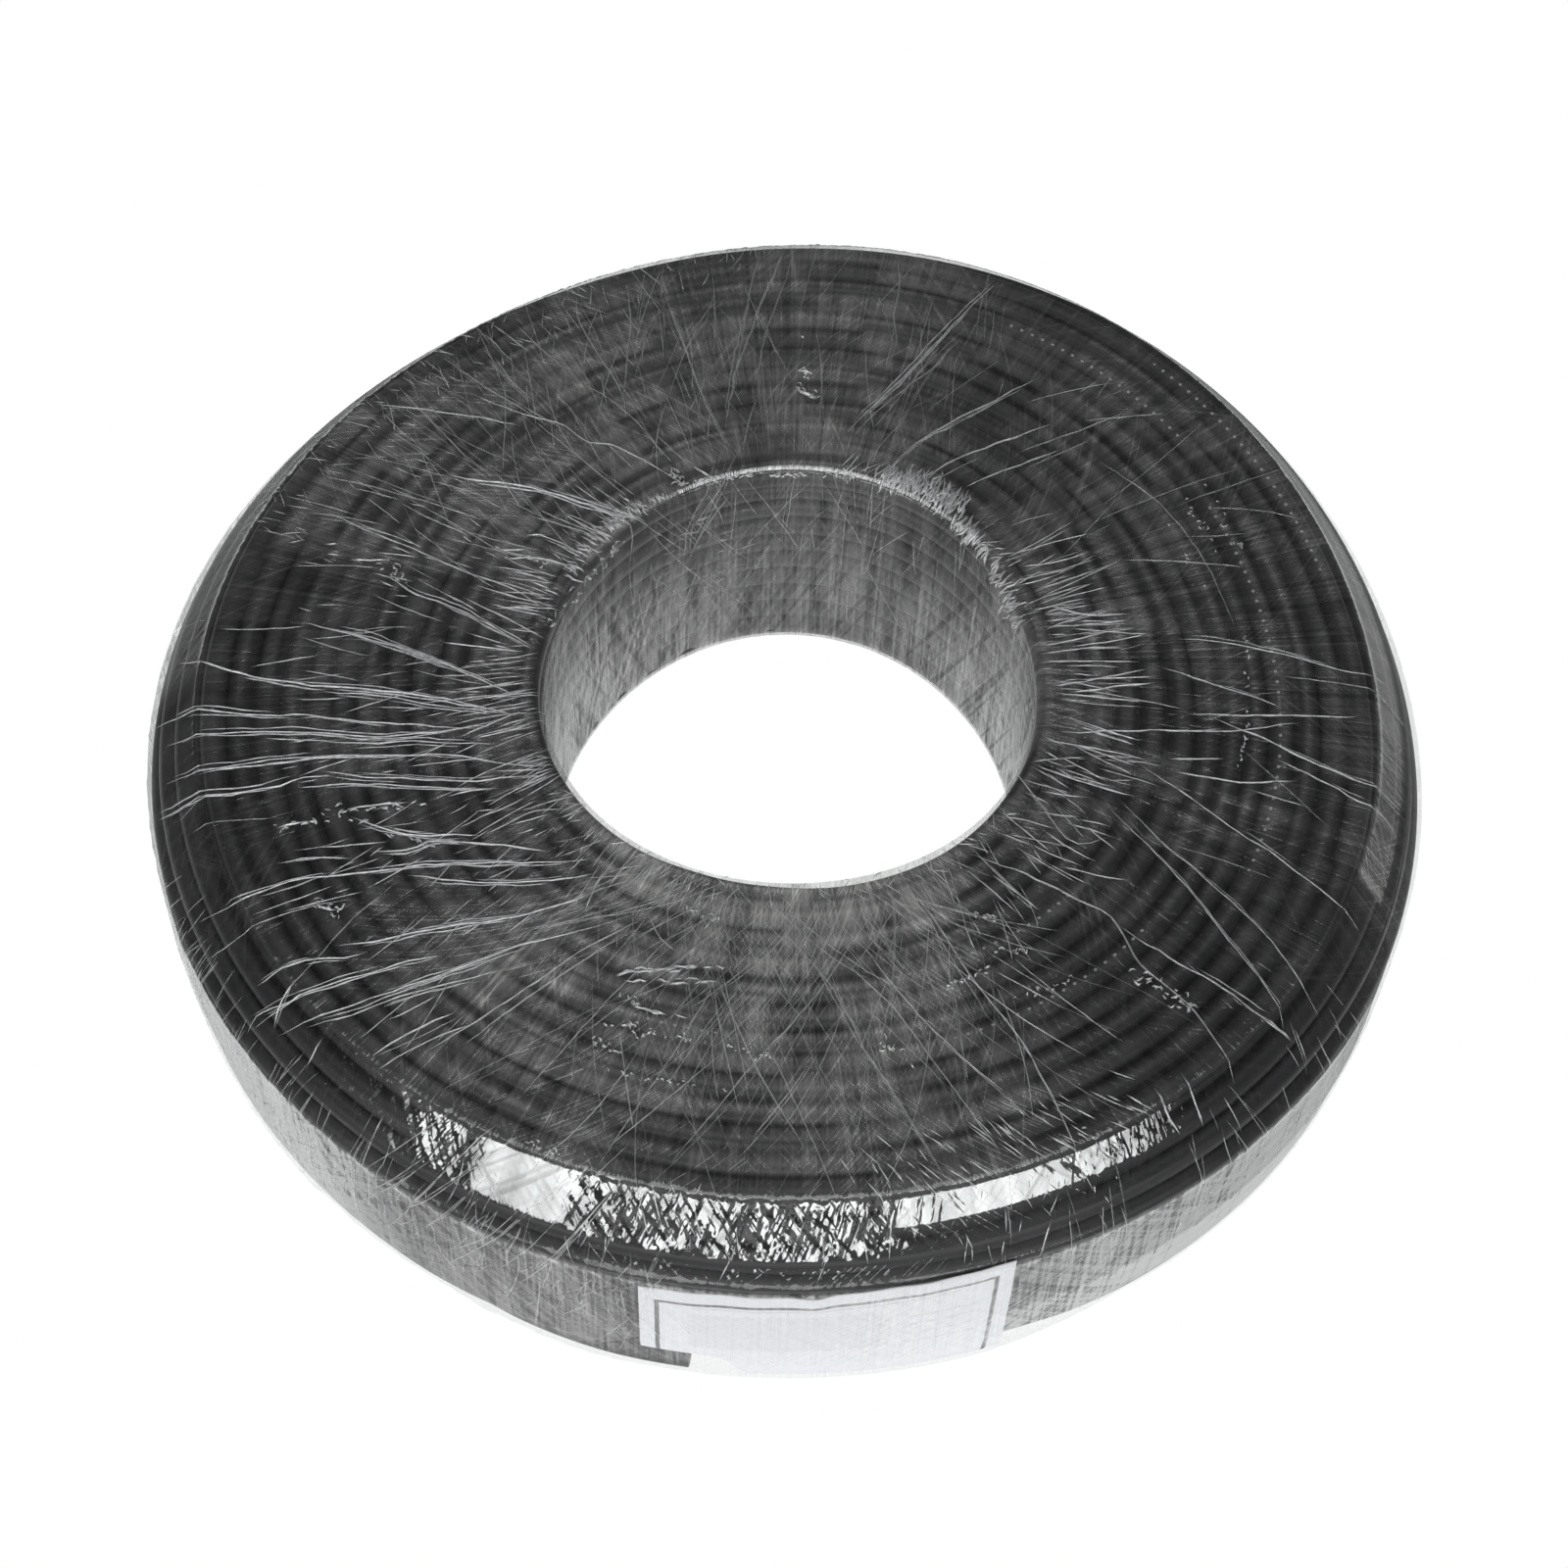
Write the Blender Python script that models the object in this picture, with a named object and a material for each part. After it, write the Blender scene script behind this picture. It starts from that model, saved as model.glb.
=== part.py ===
"""A 100 m coil of round flexible electrical cable, wrapped in clear stretch film, with a plain paper label under the film.

Metres, +Z up. The coil lies flat on z = 0, with its outline centred on the origin. The label faces -Y.
"""

import math

import bmesh
import bpy
from mathutils import Vector

# ---- driving dimensions, metres -------------------------------------------------
CABLE_D = 0.0066  # flexible cable, three cores of 0.75 mm2
CABLE_R = CABLE_D / 2
OUTER_R = 0.1550  # outside of the film at the wall
BORE_R = 0.0598  # inside of the film in the bore
HEIGHT = 0.0694  # over the film
FILM_T = 0.0003  # several laps of film that cling together
GAP = 0.0003  # between pieces that touch
LABEL_T = 0.00025
LABEL_H = 0.0510
SEGMENTS = 48  # round the ring
LAYER_PITCH = 0.0062  # from one layer of turns to the next, across the ring
TOP_LAYERS = 13  # layers that reach the flat top face
BASE_LAYERS = 12  # layers that reach the flat underside
VALLEY = 0.0018  # depth of the groove between two turns
WALL_R = OUTER_R - FILM_T - 2 * GAP - LABEL_T  # outermost crown of the turns

# The film's section, as (radius, height) from the inner lower edge outwards and round.
SHOULDER_IN = (0.1412, HEIGHT)
SHOULDER_MID = (0.1504, 0.0585)
SHOULDER_OUT = (0.1550, 0.0519)
WALL_KINK = (0.1550, 0.0260)
# The lower outside corner is slack film. It is fuller where the cable's end and the label fill it.
SLACK_CORNER = ((0.1535, 0.0085), (0.1508, 0.0040), (0.1465, 0.0))
FULL_CORNER = ((0.1550, 0.0060), (0.1537, 0.0019), (0.1512, 0.0))
RIM = 0.0014  # small round at the bore's two edges

# A hand-wound ring isn't a true circle: harmonics of the outer radius and of the bore's.
OUTER_SHAPE = ((2, 0.0, 0.009), (3, -0.008, -0.007), (4, 0.0, -0.0045))
BORE_SHAPE = ((2, -0.016, 0.007), (3, 0.0, -0.018))
BORE_SHIFT = (-0.0007, 0.0020)

# Angles are in degrees, anticlockwise from +X seen from above: the front is 270.
LABEL_FROM, LABEL_TO = 259.4, 290.8
LABEL_TOP = (0.0466, 0.0513)  # the label is stuck on askew: its upper edge's height at each end
TAIL_END = 263.4
LAP_AT, LAP_HALF = 90.0, 0.22  # where the wrapping starts and ends, and half the slit between its edges


# ---- plan shape -----------------------------------------------------------------
def swell(shape, angle):
    return 1 + sum(
        c * math.cos(n * angle) + s * math.sin(n * angle) for n, c, s in shape
    )


def ring_point(radius, angle):
    """Where the point at this radius of a true ring goes in the wound one, in plan."""
    w = min(1.0, max(0.0, (radius - BORE_R) / (OUTER_R - BORE_R)))
    k = w * swell(OUTER_SHAPE, angle) + (1 - w) * swell(BORE_SHAPE, angle)
    return (
        radius * k * math.cos(angle) + (1 - w) * BORE_SHIFT[0],
        radius * k * math.sin(angle) + (1 - w) * BORE_SHIFT[1],
    )


def plan(radius, degrees):
    """The same on the ring's flat segments, so that pieces laid on each other keep their gap all round."""
    step = 360 / SEGMENTS
    j, t = divmod(degrees, step)
    t /= step
    a = ring_point(radius, math.radians(j * step))
    b = ring_point(radius, math.radians((j + 1) * step))
    return a[0] * (1 - t) + b[0] * t, a[1] * (1 - t) + b[1] * t


def outline_centre():
    points = [plan(OUTER_R, 360 * j / SEGMENTS) for j in range(SEGMENTS)]
    xs, ys = [p[0] for p in points], [p[1] for p in points]
    return (min(xs) + max(xs)) / 2, (min(ys) + max(ys)) / 2


CENTRE = outline_centre()


def place(radius, height, degrees):
    x, y = plan(radius, degrees)
    return Vector((x - CENTRE[0], y - CENTRE[1], height))


# ---- sections -------------------------------------------------------------------
def turn_centres():
    """Centres of the turns that show, from the top inner one outwards and round to the bottom inner one, each with its outward normal."""
    first = BORE_R + FILM_T + GAP + CABLE_R
    top, base = HEIGHT - FILM_T - GAP - CABLE_R, FILM_T + GAP + CABLE_R
    turns = [((first + i * LAYER_PITCH, top), (0, 1)) for i in range(TOP_LAYERS)]
    turns += [((0.1439, 0.0600), (0.70, 0.71)), ((0.1482, 0.0550), (0.80, 0.60))]
    wall = WALL_R - CABLE_R
    turns += [((wall, 0.0486 - 0.0072 * i), (1, 0)) for i in range(5)]
    turns += [
        ((0.1469, 0.0141), (0.80, -0.60)),
        ((0.1429, 0.0088), (0.75, -0.66)),
        ((0.1383, 0.0042), (0.45, -0.89)),
    ]
    turns += [
        ((first + i * LAYER_PITCH, base), (0, -1))
        for i in reversed(range(BASE_LAYERS))
    ]
    return turns


def coil_section():
    """Crown, groove, crown, groove round the outside of the winding, and a straight wall in the bore."""
    turns = turn_centres()
    inner = BORE_R + FILM_T + GAP
    points = [(inner, turns[0][0][1]), (inner + 0.0010, turns[0][0][1] + 0.0024)]
    for k, ((r, z), (nr, nz)) in enumerate(turns):
        length = math.hypot(nr, nz)
        points.append((r + CABLE_R * nr / length, z + CABLE_R * nz / length))
        if k + 1 < len(turns):
            (r2, z2), (mr, mz) = turns[k + 1]
            gr, gz = nr + mr, nz + mz
            length = math.hypot(gr, gz)
            lift = CABLE_R - VALLEY
            points.append(
                ((r + r2) / 2 + lift * gr / length, (z + z2) / 2 + lift * gz / length)
            )
    points += [(inner + 0.0010, turns[-1][0][1] - 0.0024), (inner, turns[-1][0][1])]
    return points


def fullness(degrees):
    """0 where the film's lower corner is slack, up to 0.8 over the cable's end and the label."""
    if degrees <= 238 or degrees >= 302:
        return 0.0
    rise = min(1.0, (degrees - 238) / 15)
    fall = min(1.0, (302 - degrees) / 12)
    return 0.8 * min(rise, fall)


def film_section(degrees):
    """The film's outer face, from the bore's lower edge inwards and up, over the top and down the outside."""
    f = fullness(degrees)
    corner = [
        (a[0] * (1 - f) + b[0] * f, a[1] * (1 - f) + b[1] * f)
        for a, b in zip(SLACK_CORNER, FULL_CORNER)
    ]
    return [
        (BORE_R + RIM, 0.0),
        (BORE_R, RIM),
        (BORE_R, HEIGHT - RIM),
        (BORE_R + RIM, HEIGHT),
        SHOULDER_IN,
        SHOULDER_MID,
        SHOULDER_OUT,
        WALL_KINK,
        *corner,
    ]


def inset(section, depth):
    """A closed section moved inwards by depth, each corner along its own bisector."""
    n, moved = len(section), []
    for i in range(n):
        (ar, az), (br, bz), (cr, cz) = (
            section[i - 1],
            section[i],
            section[(i + 1) % n],
        )
        u = Vector((br - ar, bz - az)).normalized()
        v = Vector((cr - br, cz - bz)).normalized()
        # The section runs clockwise in (radius, height), so its inside is on the right.
        p, q = Vector((u.y, -u.x)), Vector((v.y, -v.x))
        m = (p + q).normalized()
        step = depth / max(0.35, m.dot(p))
        moved.append((br + m.x * step, bz + m.y * step))
    return moved


# ---- meshes ---------------------------------------------------------------------
def new_object(name, bm, material):
    mesh = bpy.data.meshes.new(name)
    bm.to_mesh(mesh)
    bm.free()
    mesh.shade_smooth()
    mesh.set_sharp_from_angle(angle=math.radians(50))
    obj = bpy.data.objects.new(name, mesh)
    mesh.materials.append(material)
    bpy.context.scene.collection.objects.link(obj)
    return obj


def make_material(name, colour, roughness, alpha=1.0):
    material = bpy.data.materials.new(name)
    material.use_nodes = True
    shader = material.node_tree.nodes["Principled BSDF"]
    shader.inputs["Base Color"].default_value = (*colour, 1)
    shader.inputs["Roughness"].default_value = roughness
    shader.inputs["Metallic"].default_value = 0.0
    shader.inputs["Alpha"].default_value = alpha
    return material


def faced_outwards(bm):
    bmesh.ops.recalc_face_normals(bm, faces=bm.faces)
    if bm.calc_volume(signed=True) < 0:
        bmesh.ops.reverse_faces(bm, faces=bm.faces)
    return bm


def winding_mesh():
    section = coil_section()
    bm = bmesh.new()
    columns = [
        [bm.verts.new(place(r, z, 360 * j / SEGMENTS)) for r, z in section]
        for j in range(SEGMENTS)
    ]
    n = len(section)
    for j in range(SEGMENTS):
        a, b = columns[j], columns[(j + 1) % SEGMENTS]
        for i in range(n):
            bm.faces.new((a[i], a[(i + 1) % n], b[(i + 1) % n], b[i]))
    return faced_outwards(bm)


def tail_mesh(sides=12):
    """The cable's outer end, from inside the lowest outside turns to its square cut."""
    route = [
        (229.0, 0.1405, 0.0140),
        (234.0, 0.1425, 0.0108),
        (240.0, 0.1453, 0.0073),
        (246.0, 0.1473, 0.0049),
        (252.0, 0.1484, 0.0042),
        (257.0, 0.1492, 0.0042),
        (TAIL_END, 0.1492, 0.0042),
    ]
    points = [place(r, z, d) for d, r, z in route]
    bm = bmesh.new()
    rings = []
    for i, p in enumerate(points):
        ahead = points[min(i + 1, len(points) - 1)] - points[max(i - 1, 0)]
        ahead.normalize()
        side = ahead.cross(Vector((0, 0, 1))).normalized()
        rise = side.cross(ahead)
        rings.append(
            [
                bm.verts.new(
                    p
                    + CABLE_R
                    * (
                        side * math.cos(2 * math.pi * k / sides)
                        + rise * math.sin(2 * math.pi * k / sides)
                    )
                )
                for k in range(sides)
            ]
        )
    for a, b in zip(rings, rings[1:]):
        for k in range(sides):
            bm.faces.new((a[k], a[(k + 1) % sides], b[(k + 1) % sides], b[k]))
    bm.faces.new(rings[0])
    bm.faces.new(rings[-1])
    return faced_outwards(bm)


def film_mesh():
    """A thin skin round the whole section, open along the narrow slit where the wrapping starts and ends."""
    step = 360 / SEGMENTS
    angles = [LAP_AT + LAP_HALF]
    angles += [LAP_AT + step * j for j in range(1, SEGMENTS)]
    angles += [LAP_AT + 360 - LAP_HALF]
    bm = bmesh.new()
    outer, inner = [], []
    for degrees in angles:
        section = film_section(degrees % 360)
        outer.append([bm.verts.new(place(r, z, degrees)) for r, z in section])
        inner.append(
            [bm.verts.new(place(r, z, degrees)) for r, z in inset(section, FILM_T)]
        )
    n = len(outer[0])
    for j in range(len(angles) - 1):
        for loops, turn in ((outer, 1), (inner, -1)):
            a, b = loops[j], loops[j + 1]
            for i in range(n):
                corners = (a[i], b[i], b[(i + 1) % n], a[(i + 1) % n])
                bm.faces.new(corners[::turn])
    for j in (0, -1):
        for i in range(n):
            k = (i + 1) % n
            bm.faces.new((outer[j][i], outer[j][k], inner[j][k], inner[j][i]))
    return faced_outwards(bm)


def label_mesh():
    """The middle surface of the label, below its upper edge. Its lower left corner goes under the cable's end."""
    wall = WALL_R + GAP + LABEL_T / 2
    tucked = [
        (wall, 0.0345),
        (wall, 0.0180),
        (0.1526, 0.0125),
        (0.1485, 0.0088),
        (0.1448, 0.0054),
        (0.1440, 0.0034),
    ]
    hanging = [
        (wall, 0.0345),
        (wall, 0.0180),
        (0.1541, 0.0122),
        (0.1536, 0.0072),
        (0.1522, 0.0029),
        (0.1499, 0.00125),
    ]
    step = 360 / SEGMENTS
    angles = [LABEL_FROM, TAIL_END + 0.5, TAIL_END + 3.0]
    angles += [
        step * j
        for j in range(int(LABEL_FROM / step) + 1, int(LABEL_TO / step) + 1)
    ]
    angles += [LABEL_TO]
    bm = bmesh.new()
    columns = []
    for degrees in sorted(angles):
        t = min(1.0, max(0.0, (degrees - TAIL_END - 0.5) / 5.0))
        along = (degrees - LABEL_FROM) / (LABEL_TO - LABEL_FROM)
        edge = LABEL_TOP[0] + (LABEL_TOP[1] - LABEL_TOP[0]) * along
        columns.append([bm.verts.new(place(wall, edge, degrees))])
        for a, b in zip(tucked, hanging):
            r, z = a[0] * (1 - t) + b[0] * t, a[1] * (1 - t) + b[1] * t
            columns[-1].append(bm.verts.new(place(r, z, degrees)))
    for a, b in zip(columns, columns[1:]):
        for i in range(len(tucked)):
            bm.faces.new((a[i + 1], b[i + 1], b[i], a[i]))
    return bm


def main():
    for obj in list(bpy.data.objects):
        bpy.data.objects.remove(obj, do_unlink=True)

    jacket = make_material("pvc_jacket", (0.022, 0.022, 0.023), 0.38)
    paper = make_material("label_paper", (0.86, 0.87, 0.90), 0.60)
    film = make_material("clear_film", (0.82, 0.84, 0.85), 0.12, alpha=0.30)

    coil = new_object("cable_coil", winding_mesh(), jacket)
    tail = new_object("cable_end_guide", tail_mesh(), jacket)
    tail.hide_render = True
    tail.display_type = "WIRE"
    join = coil.modifiers.new("cable_end", "BOOLEAN")
    join.operation = "UNION"
    join.solver = "EXACT"
    join.object = tail

    label = new_object("paper_label", label_mesh(), paper)
    sheet = label.modifiers.new("paper", "SOLIDIFY")
    sheet.thickness = LABEL_T
    sheet.offset = 0.0

    new_object("stretch_film", film_mesh(), film)


main()
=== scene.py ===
"""Looks of a coil of black electrical cable wrapped in clear stretch film, with a plain paper label under the film.

Metres, +Z up. Angles are in degrees, anticlockwise from +X seen from above, so the front is 270.
"""

import math

import bpy
import numpy as np
from mathutils import Matrix, Vector


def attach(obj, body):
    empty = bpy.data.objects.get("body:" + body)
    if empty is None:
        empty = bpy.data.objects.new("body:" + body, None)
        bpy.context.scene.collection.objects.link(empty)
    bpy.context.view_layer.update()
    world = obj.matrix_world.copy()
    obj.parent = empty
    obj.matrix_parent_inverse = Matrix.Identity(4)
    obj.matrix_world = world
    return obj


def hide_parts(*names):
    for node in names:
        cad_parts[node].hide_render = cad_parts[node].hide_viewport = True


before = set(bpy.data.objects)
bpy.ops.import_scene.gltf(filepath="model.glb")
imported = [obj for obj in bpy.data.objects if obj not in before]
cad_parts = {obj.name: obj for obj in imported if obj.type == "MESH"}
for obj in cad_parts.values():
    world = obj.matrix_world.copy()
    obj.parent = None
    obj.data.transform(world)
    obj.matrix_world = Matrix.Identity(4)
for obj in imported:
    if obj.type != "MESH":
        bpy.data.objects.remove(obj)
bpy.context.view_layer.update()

# ---- sizes, the same as the construction's --------------------------------------
CABLE_R = 0.0033
OUTER_R = 0.1550
BORE_R = 0.0598
HEIGHT = 0.0694
FILM_T = 0.0003
GAP = 0.0003
LABEL_T = 0.00025
LAYER_PITCH = 0.0062
TOP_LAYERS = 13
BASE_LAYERS = 12
WALL_R = OUTER_R - FILM_T - 2 * GAP - LABEL_T
SHOULDER_IN = (0.1412, HEIGHT)
SHOULDER_MID = (0.1504, 0.0585)
SHOULDER_OUT = (0.1550, 0.0519)
WALL_KINK = (0.1550, 0.0260)
SLACK_CORNER = ((0.1535, 0.0085), (0.1508, 0.0040), (0.1465, 0.0))
FULL_CORNER = ((0.1550, 0.0060), (0.1537, 0.0019), (0.1512, 0.0))
RIM = 0.0014
ROUND = 0.0032  # the film's bend over the bore's upper edge, which follows the first turn
OUTER_SHAPE = ((2, 0.0, 0.009), (3, -0.008, -0.007), (4, 0.0, -0.0045))
BORE_SHAPE = ((2, -0.016, 0.007), (3, 0.0, -0.018))
BORE_SHIFT = (-0.0007, 0.0020)
CENTRE = (-0.00124, 0.001085)
LABEL_FROM, LABEL_TO = 259.4, 290.8
LABEL_TOP = (0.0466, 0.0513)
TAIL_END = 263.4
FIRST_R = BORE_R + FILM_T + GAP + CABLE_R

COLUMNS = 1280  # of the film's grid, round the ring; the shoulder's is twice as fine


# ---- plan and noise -------------------------------------------------------------
def swell(shape, a):
    return 1 + sum(c * np.cos(n * a) + s * np.sin(n * a) for n, c, s in shape)


def plan(radius, degrees):
    """x and y of the point at this radius of a true ring, in the hand-wound one."""
    a = np.radians(degrees)
    w = np.clip((radius - BORE_R) / (OUTER_R - BORE_R), 0, 1)
    k = w * swell(OUTER_SHAPE, a) + (1 - w) * swell(BORE_SHAPE, a)
    x = radius * k * np.cos(a) + (1 - w) * BORE_SHIFT[0] - CENTRE[0]
    y = radius * k * np.sin(a) + (1 - w) * BORE_SHIFT[1] - CENTRE[1]
    return x, y


def place(radius, height, degrees):
    x, y = plan(radius, degrees)
    return np.stack(np.broadcast_arrays(x, y, height), -1)


def smooth(t):
    t = np.clip(t, 0, 1)
    return t * t * (3 - 2 * t)


def noise(seed, turn, v, cells, rows=64):
    """Smooth noise from 0 to 1. turn goes once round the ring from 0 to 1 in so many cells, and v is in cells."""
    table = np.random.default_rng(seed).random((cells, rows))
    x = (np.asarray(turn) % 1.0) * cells
    i = np.floor(x).astype(int)
    j = np.floor(v).astype(int)
    fx, fy = smooth(x - i), smooth(v - j)
    i0, i1, j0, j1 = i % cells, (i + 1) % cells, j % rows, (j + 1) % rows
    low = table[i0, j0] * (1 - fx) + table[i1, j0] * fx
    high = table[i0, j1] * (1 - fx) + table[i1, j1] * fx
    return low * (1 - fy) + high * fy


def ridged(seed, turn, v, cells, power=3.0):
    """Thin ridges where the noise crosses its middle."""
    return (1 - np.abs(2 * noise(seed, turn, v, cells) - 1)) ** power


def near(degrees, centre, half, soft):
    """1 within half degrees of centre, falling to 0 over soft more."""
    d = np.abs((np.asarray(degrees) - centre + 180) % 360 - 180)
    return smooth((half + soft - d) / soft)


# ---- the turns of cable ---------------------------------------------------------
def turn_drift(turn, layer):
    """How far a turn on the top wanders across the ring."""
    slow = noise(11, turn, layer * 0.35 + 3, 7) - 0.5
    quick = noise(12, turn, layer * 0.6 + 9, 23) - 0.5
    return 0.0017 * slow + 0.0005 * quick


def turn_dip(turn, layer):
    """How far a turn on the top lies below its neighbours."""
    slow = noise(13, turn, layer * 1.1 + 5, 11)
    return 0.0011 * smooth((slow - 0.45) / 0.5) + 0.0002 * noise(14, turn, layer, 31)


def crown_phase(turn, radius):
    """1 over the crown of a turn on the top, 0 over the groove between two."""
    layer = (radius - FIRST_R) / LAYER_PITCH
    layer = (radius - FIRST_R - turn_drift(turn, layer)) / LAYER_PITCH
    return 0.5 + 0.5 * np.cos(2 * math.pi * layer)


# ---- materials ------------------------------------------------------------------
class Nodes:
    """A material's node tree, with short ways to add to it."""

    def __init__(self, name):
        self.material = bpy.data.materials.new(name)
        self.material.use_nodes = True
        self.tree = self.material.node_tree
        self.tree.nodes.clear()
        self.output = self.tree.nodes.new("ShaderNodeOutputMaterial")

    def add(self, kind, settings=None, **inputs):
        node = self.tree.nodes.new("ShaderNode" + kind)
        for key, value in (settings or {}).items():
            setattr(node, key, value)
        for key, value in inputs.items():
            self.put(node, key.replace("_", " "), value)
        return node

    def put(self, node, key, value):
        socket = node.inputs[int(key) if key.isdigit() else key]
        if isinstance(value, bpy.types.NodeSocket):
            self.tree.links.new(value, socket)
        else:
            socket.default_value = value

    def maths(self, operation, a, b=0.0, clamp=False):
        node = self.tree.nodes.new("ShaderNodeMath")
        node.operation = operation
        node.use_clamp = clamp
        self.put(node, "0", a)
        self.put(node, "1", b)
        return node.outputs[0]

    def span(self, value, low, high, to_low=0.0, to_high=1.0):
        node = self.tree.nodes.new("ShaderNodeMapRange")
        node.clamp = True
        self.put(node, "Value", value)
        self.put(node, "From Min", low)
        self.put(node, "From Max", high)
        self.put(node, "To Min", to_low)
        self.put(node, "To Max", to_high)
        return node.outputs[0]

    def attribute(self, name, output="Fac"):
        node = self.tree.nodes.new("ShaderNodeAttribute")
        node.attribute_name = name
        return node.outputs[output]

    def scaled(self, vector, x, y, z):
        node = self.tree.nodes.new("ShaderNodeMapping")
        self.put(node, "Vector", vector)
        self.put(node, "Scale", (x, y, z))
        return node.outputs[0]

    def noise(self, vector, scale=1.0, detail=2.0, roughness=0.5):
        node = self.tree.nodes.new("ShaderNodeTexNoise")
        self.put(node, "Vector", vector)
        self.put(node, "Scale", scale)
        self.put(node, "Detail", detail)
        self.put(node, "Roughness", roughness)
        return node.outputs["Fac"]

    def line(self, value, middle, half):
        """1 where value is at middle, falling to 0 at half from it."""
        gap = self.maths("ABSOLUTE", self.maths("SUBTRACT", value, middle))
        return self.span(gap, 0.0, half, 1.0, 0.0)

    def colour(self, factor, low, high):
        node = self.tree.nodes.new("ShaderNodeMix")
        node.data_type = "RGBA"
        self.put(node, "0", factor)
        node.inputs[6].default_value = (*low, 1)
        node.inputs[7].default_value = (*high, 1)
        return node.outputs[2]

    def mixed(self, factor, first, second):
        node = self.tree.nodes.new("ShaderNodeMixShader")
        self.put(node, "0", factor)
        self.tree.links.new(first, node.inputs[1])
        self.tree.links.new(second, node.inputs[2])
        return node.outputs[0]

    def done(self, shader):
        self.tree.links.new(shader, self.output.inputs["Surface"])
        return self.material


def cable_material():
    """Satin black PVC, with the faint haze of handling and rows of plain pale dots along a few turns."""
    n = Nodes("pvc_jacket")
    where = n.add("TexCoord").outputs["Object"]
    mottle = n.noise(where, 60.0, 4.0, 0.6)
    grain = n.noise(where, 900.0, 3.0, 0.6)
    colour = n.colour(mottle, (0.012, 0.012, 0.013), (0.028, 0.028, 0.030))
    # dots: arc runs along the turn in millimetres, side goes from 0 to 1 round the cable
    arc, side, printed = n.attribute("arc"), n.attribute("side"), n.attribute("printed")
    beat = n.maths("FRACT", n.maths("DIVIDE", arc, 3.1))
    along = n.line(beat, 0.5, 0.20)
    across = n.line(side, 0.28, 0.030)
    dot = n.maths("MULTIPLY", n.maths("MULTIPLY", along, across), printed)
    dot = n.span(dot, 0.15, 0.4, 0.0, 0.75)
    mix = n.add("Mix", {"data_type": "RGBA"})
    n.put(mix, "0", dot)
    n.tree.links.new(colour, mix.inputs[6])
    mix.inputs[7].default_value = (0.62, 0.63, 0.62, 1)
    bump = n.add("Bump", Strength=0.25, Distance=0.00012, Height=grain)
    shader = n.add("BsdfPrincipled", IOR=1.5)
    n.put(shader, "Base Color", mix.outputs[2])
    n.put(shader, "Roughness", n.span(mottle, 0.2, 0.8, 0.40, 0.54))
    n.put(shader, "Normal", bump.outputs[0])
    return n.done(shader.outputs[0])


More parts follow.
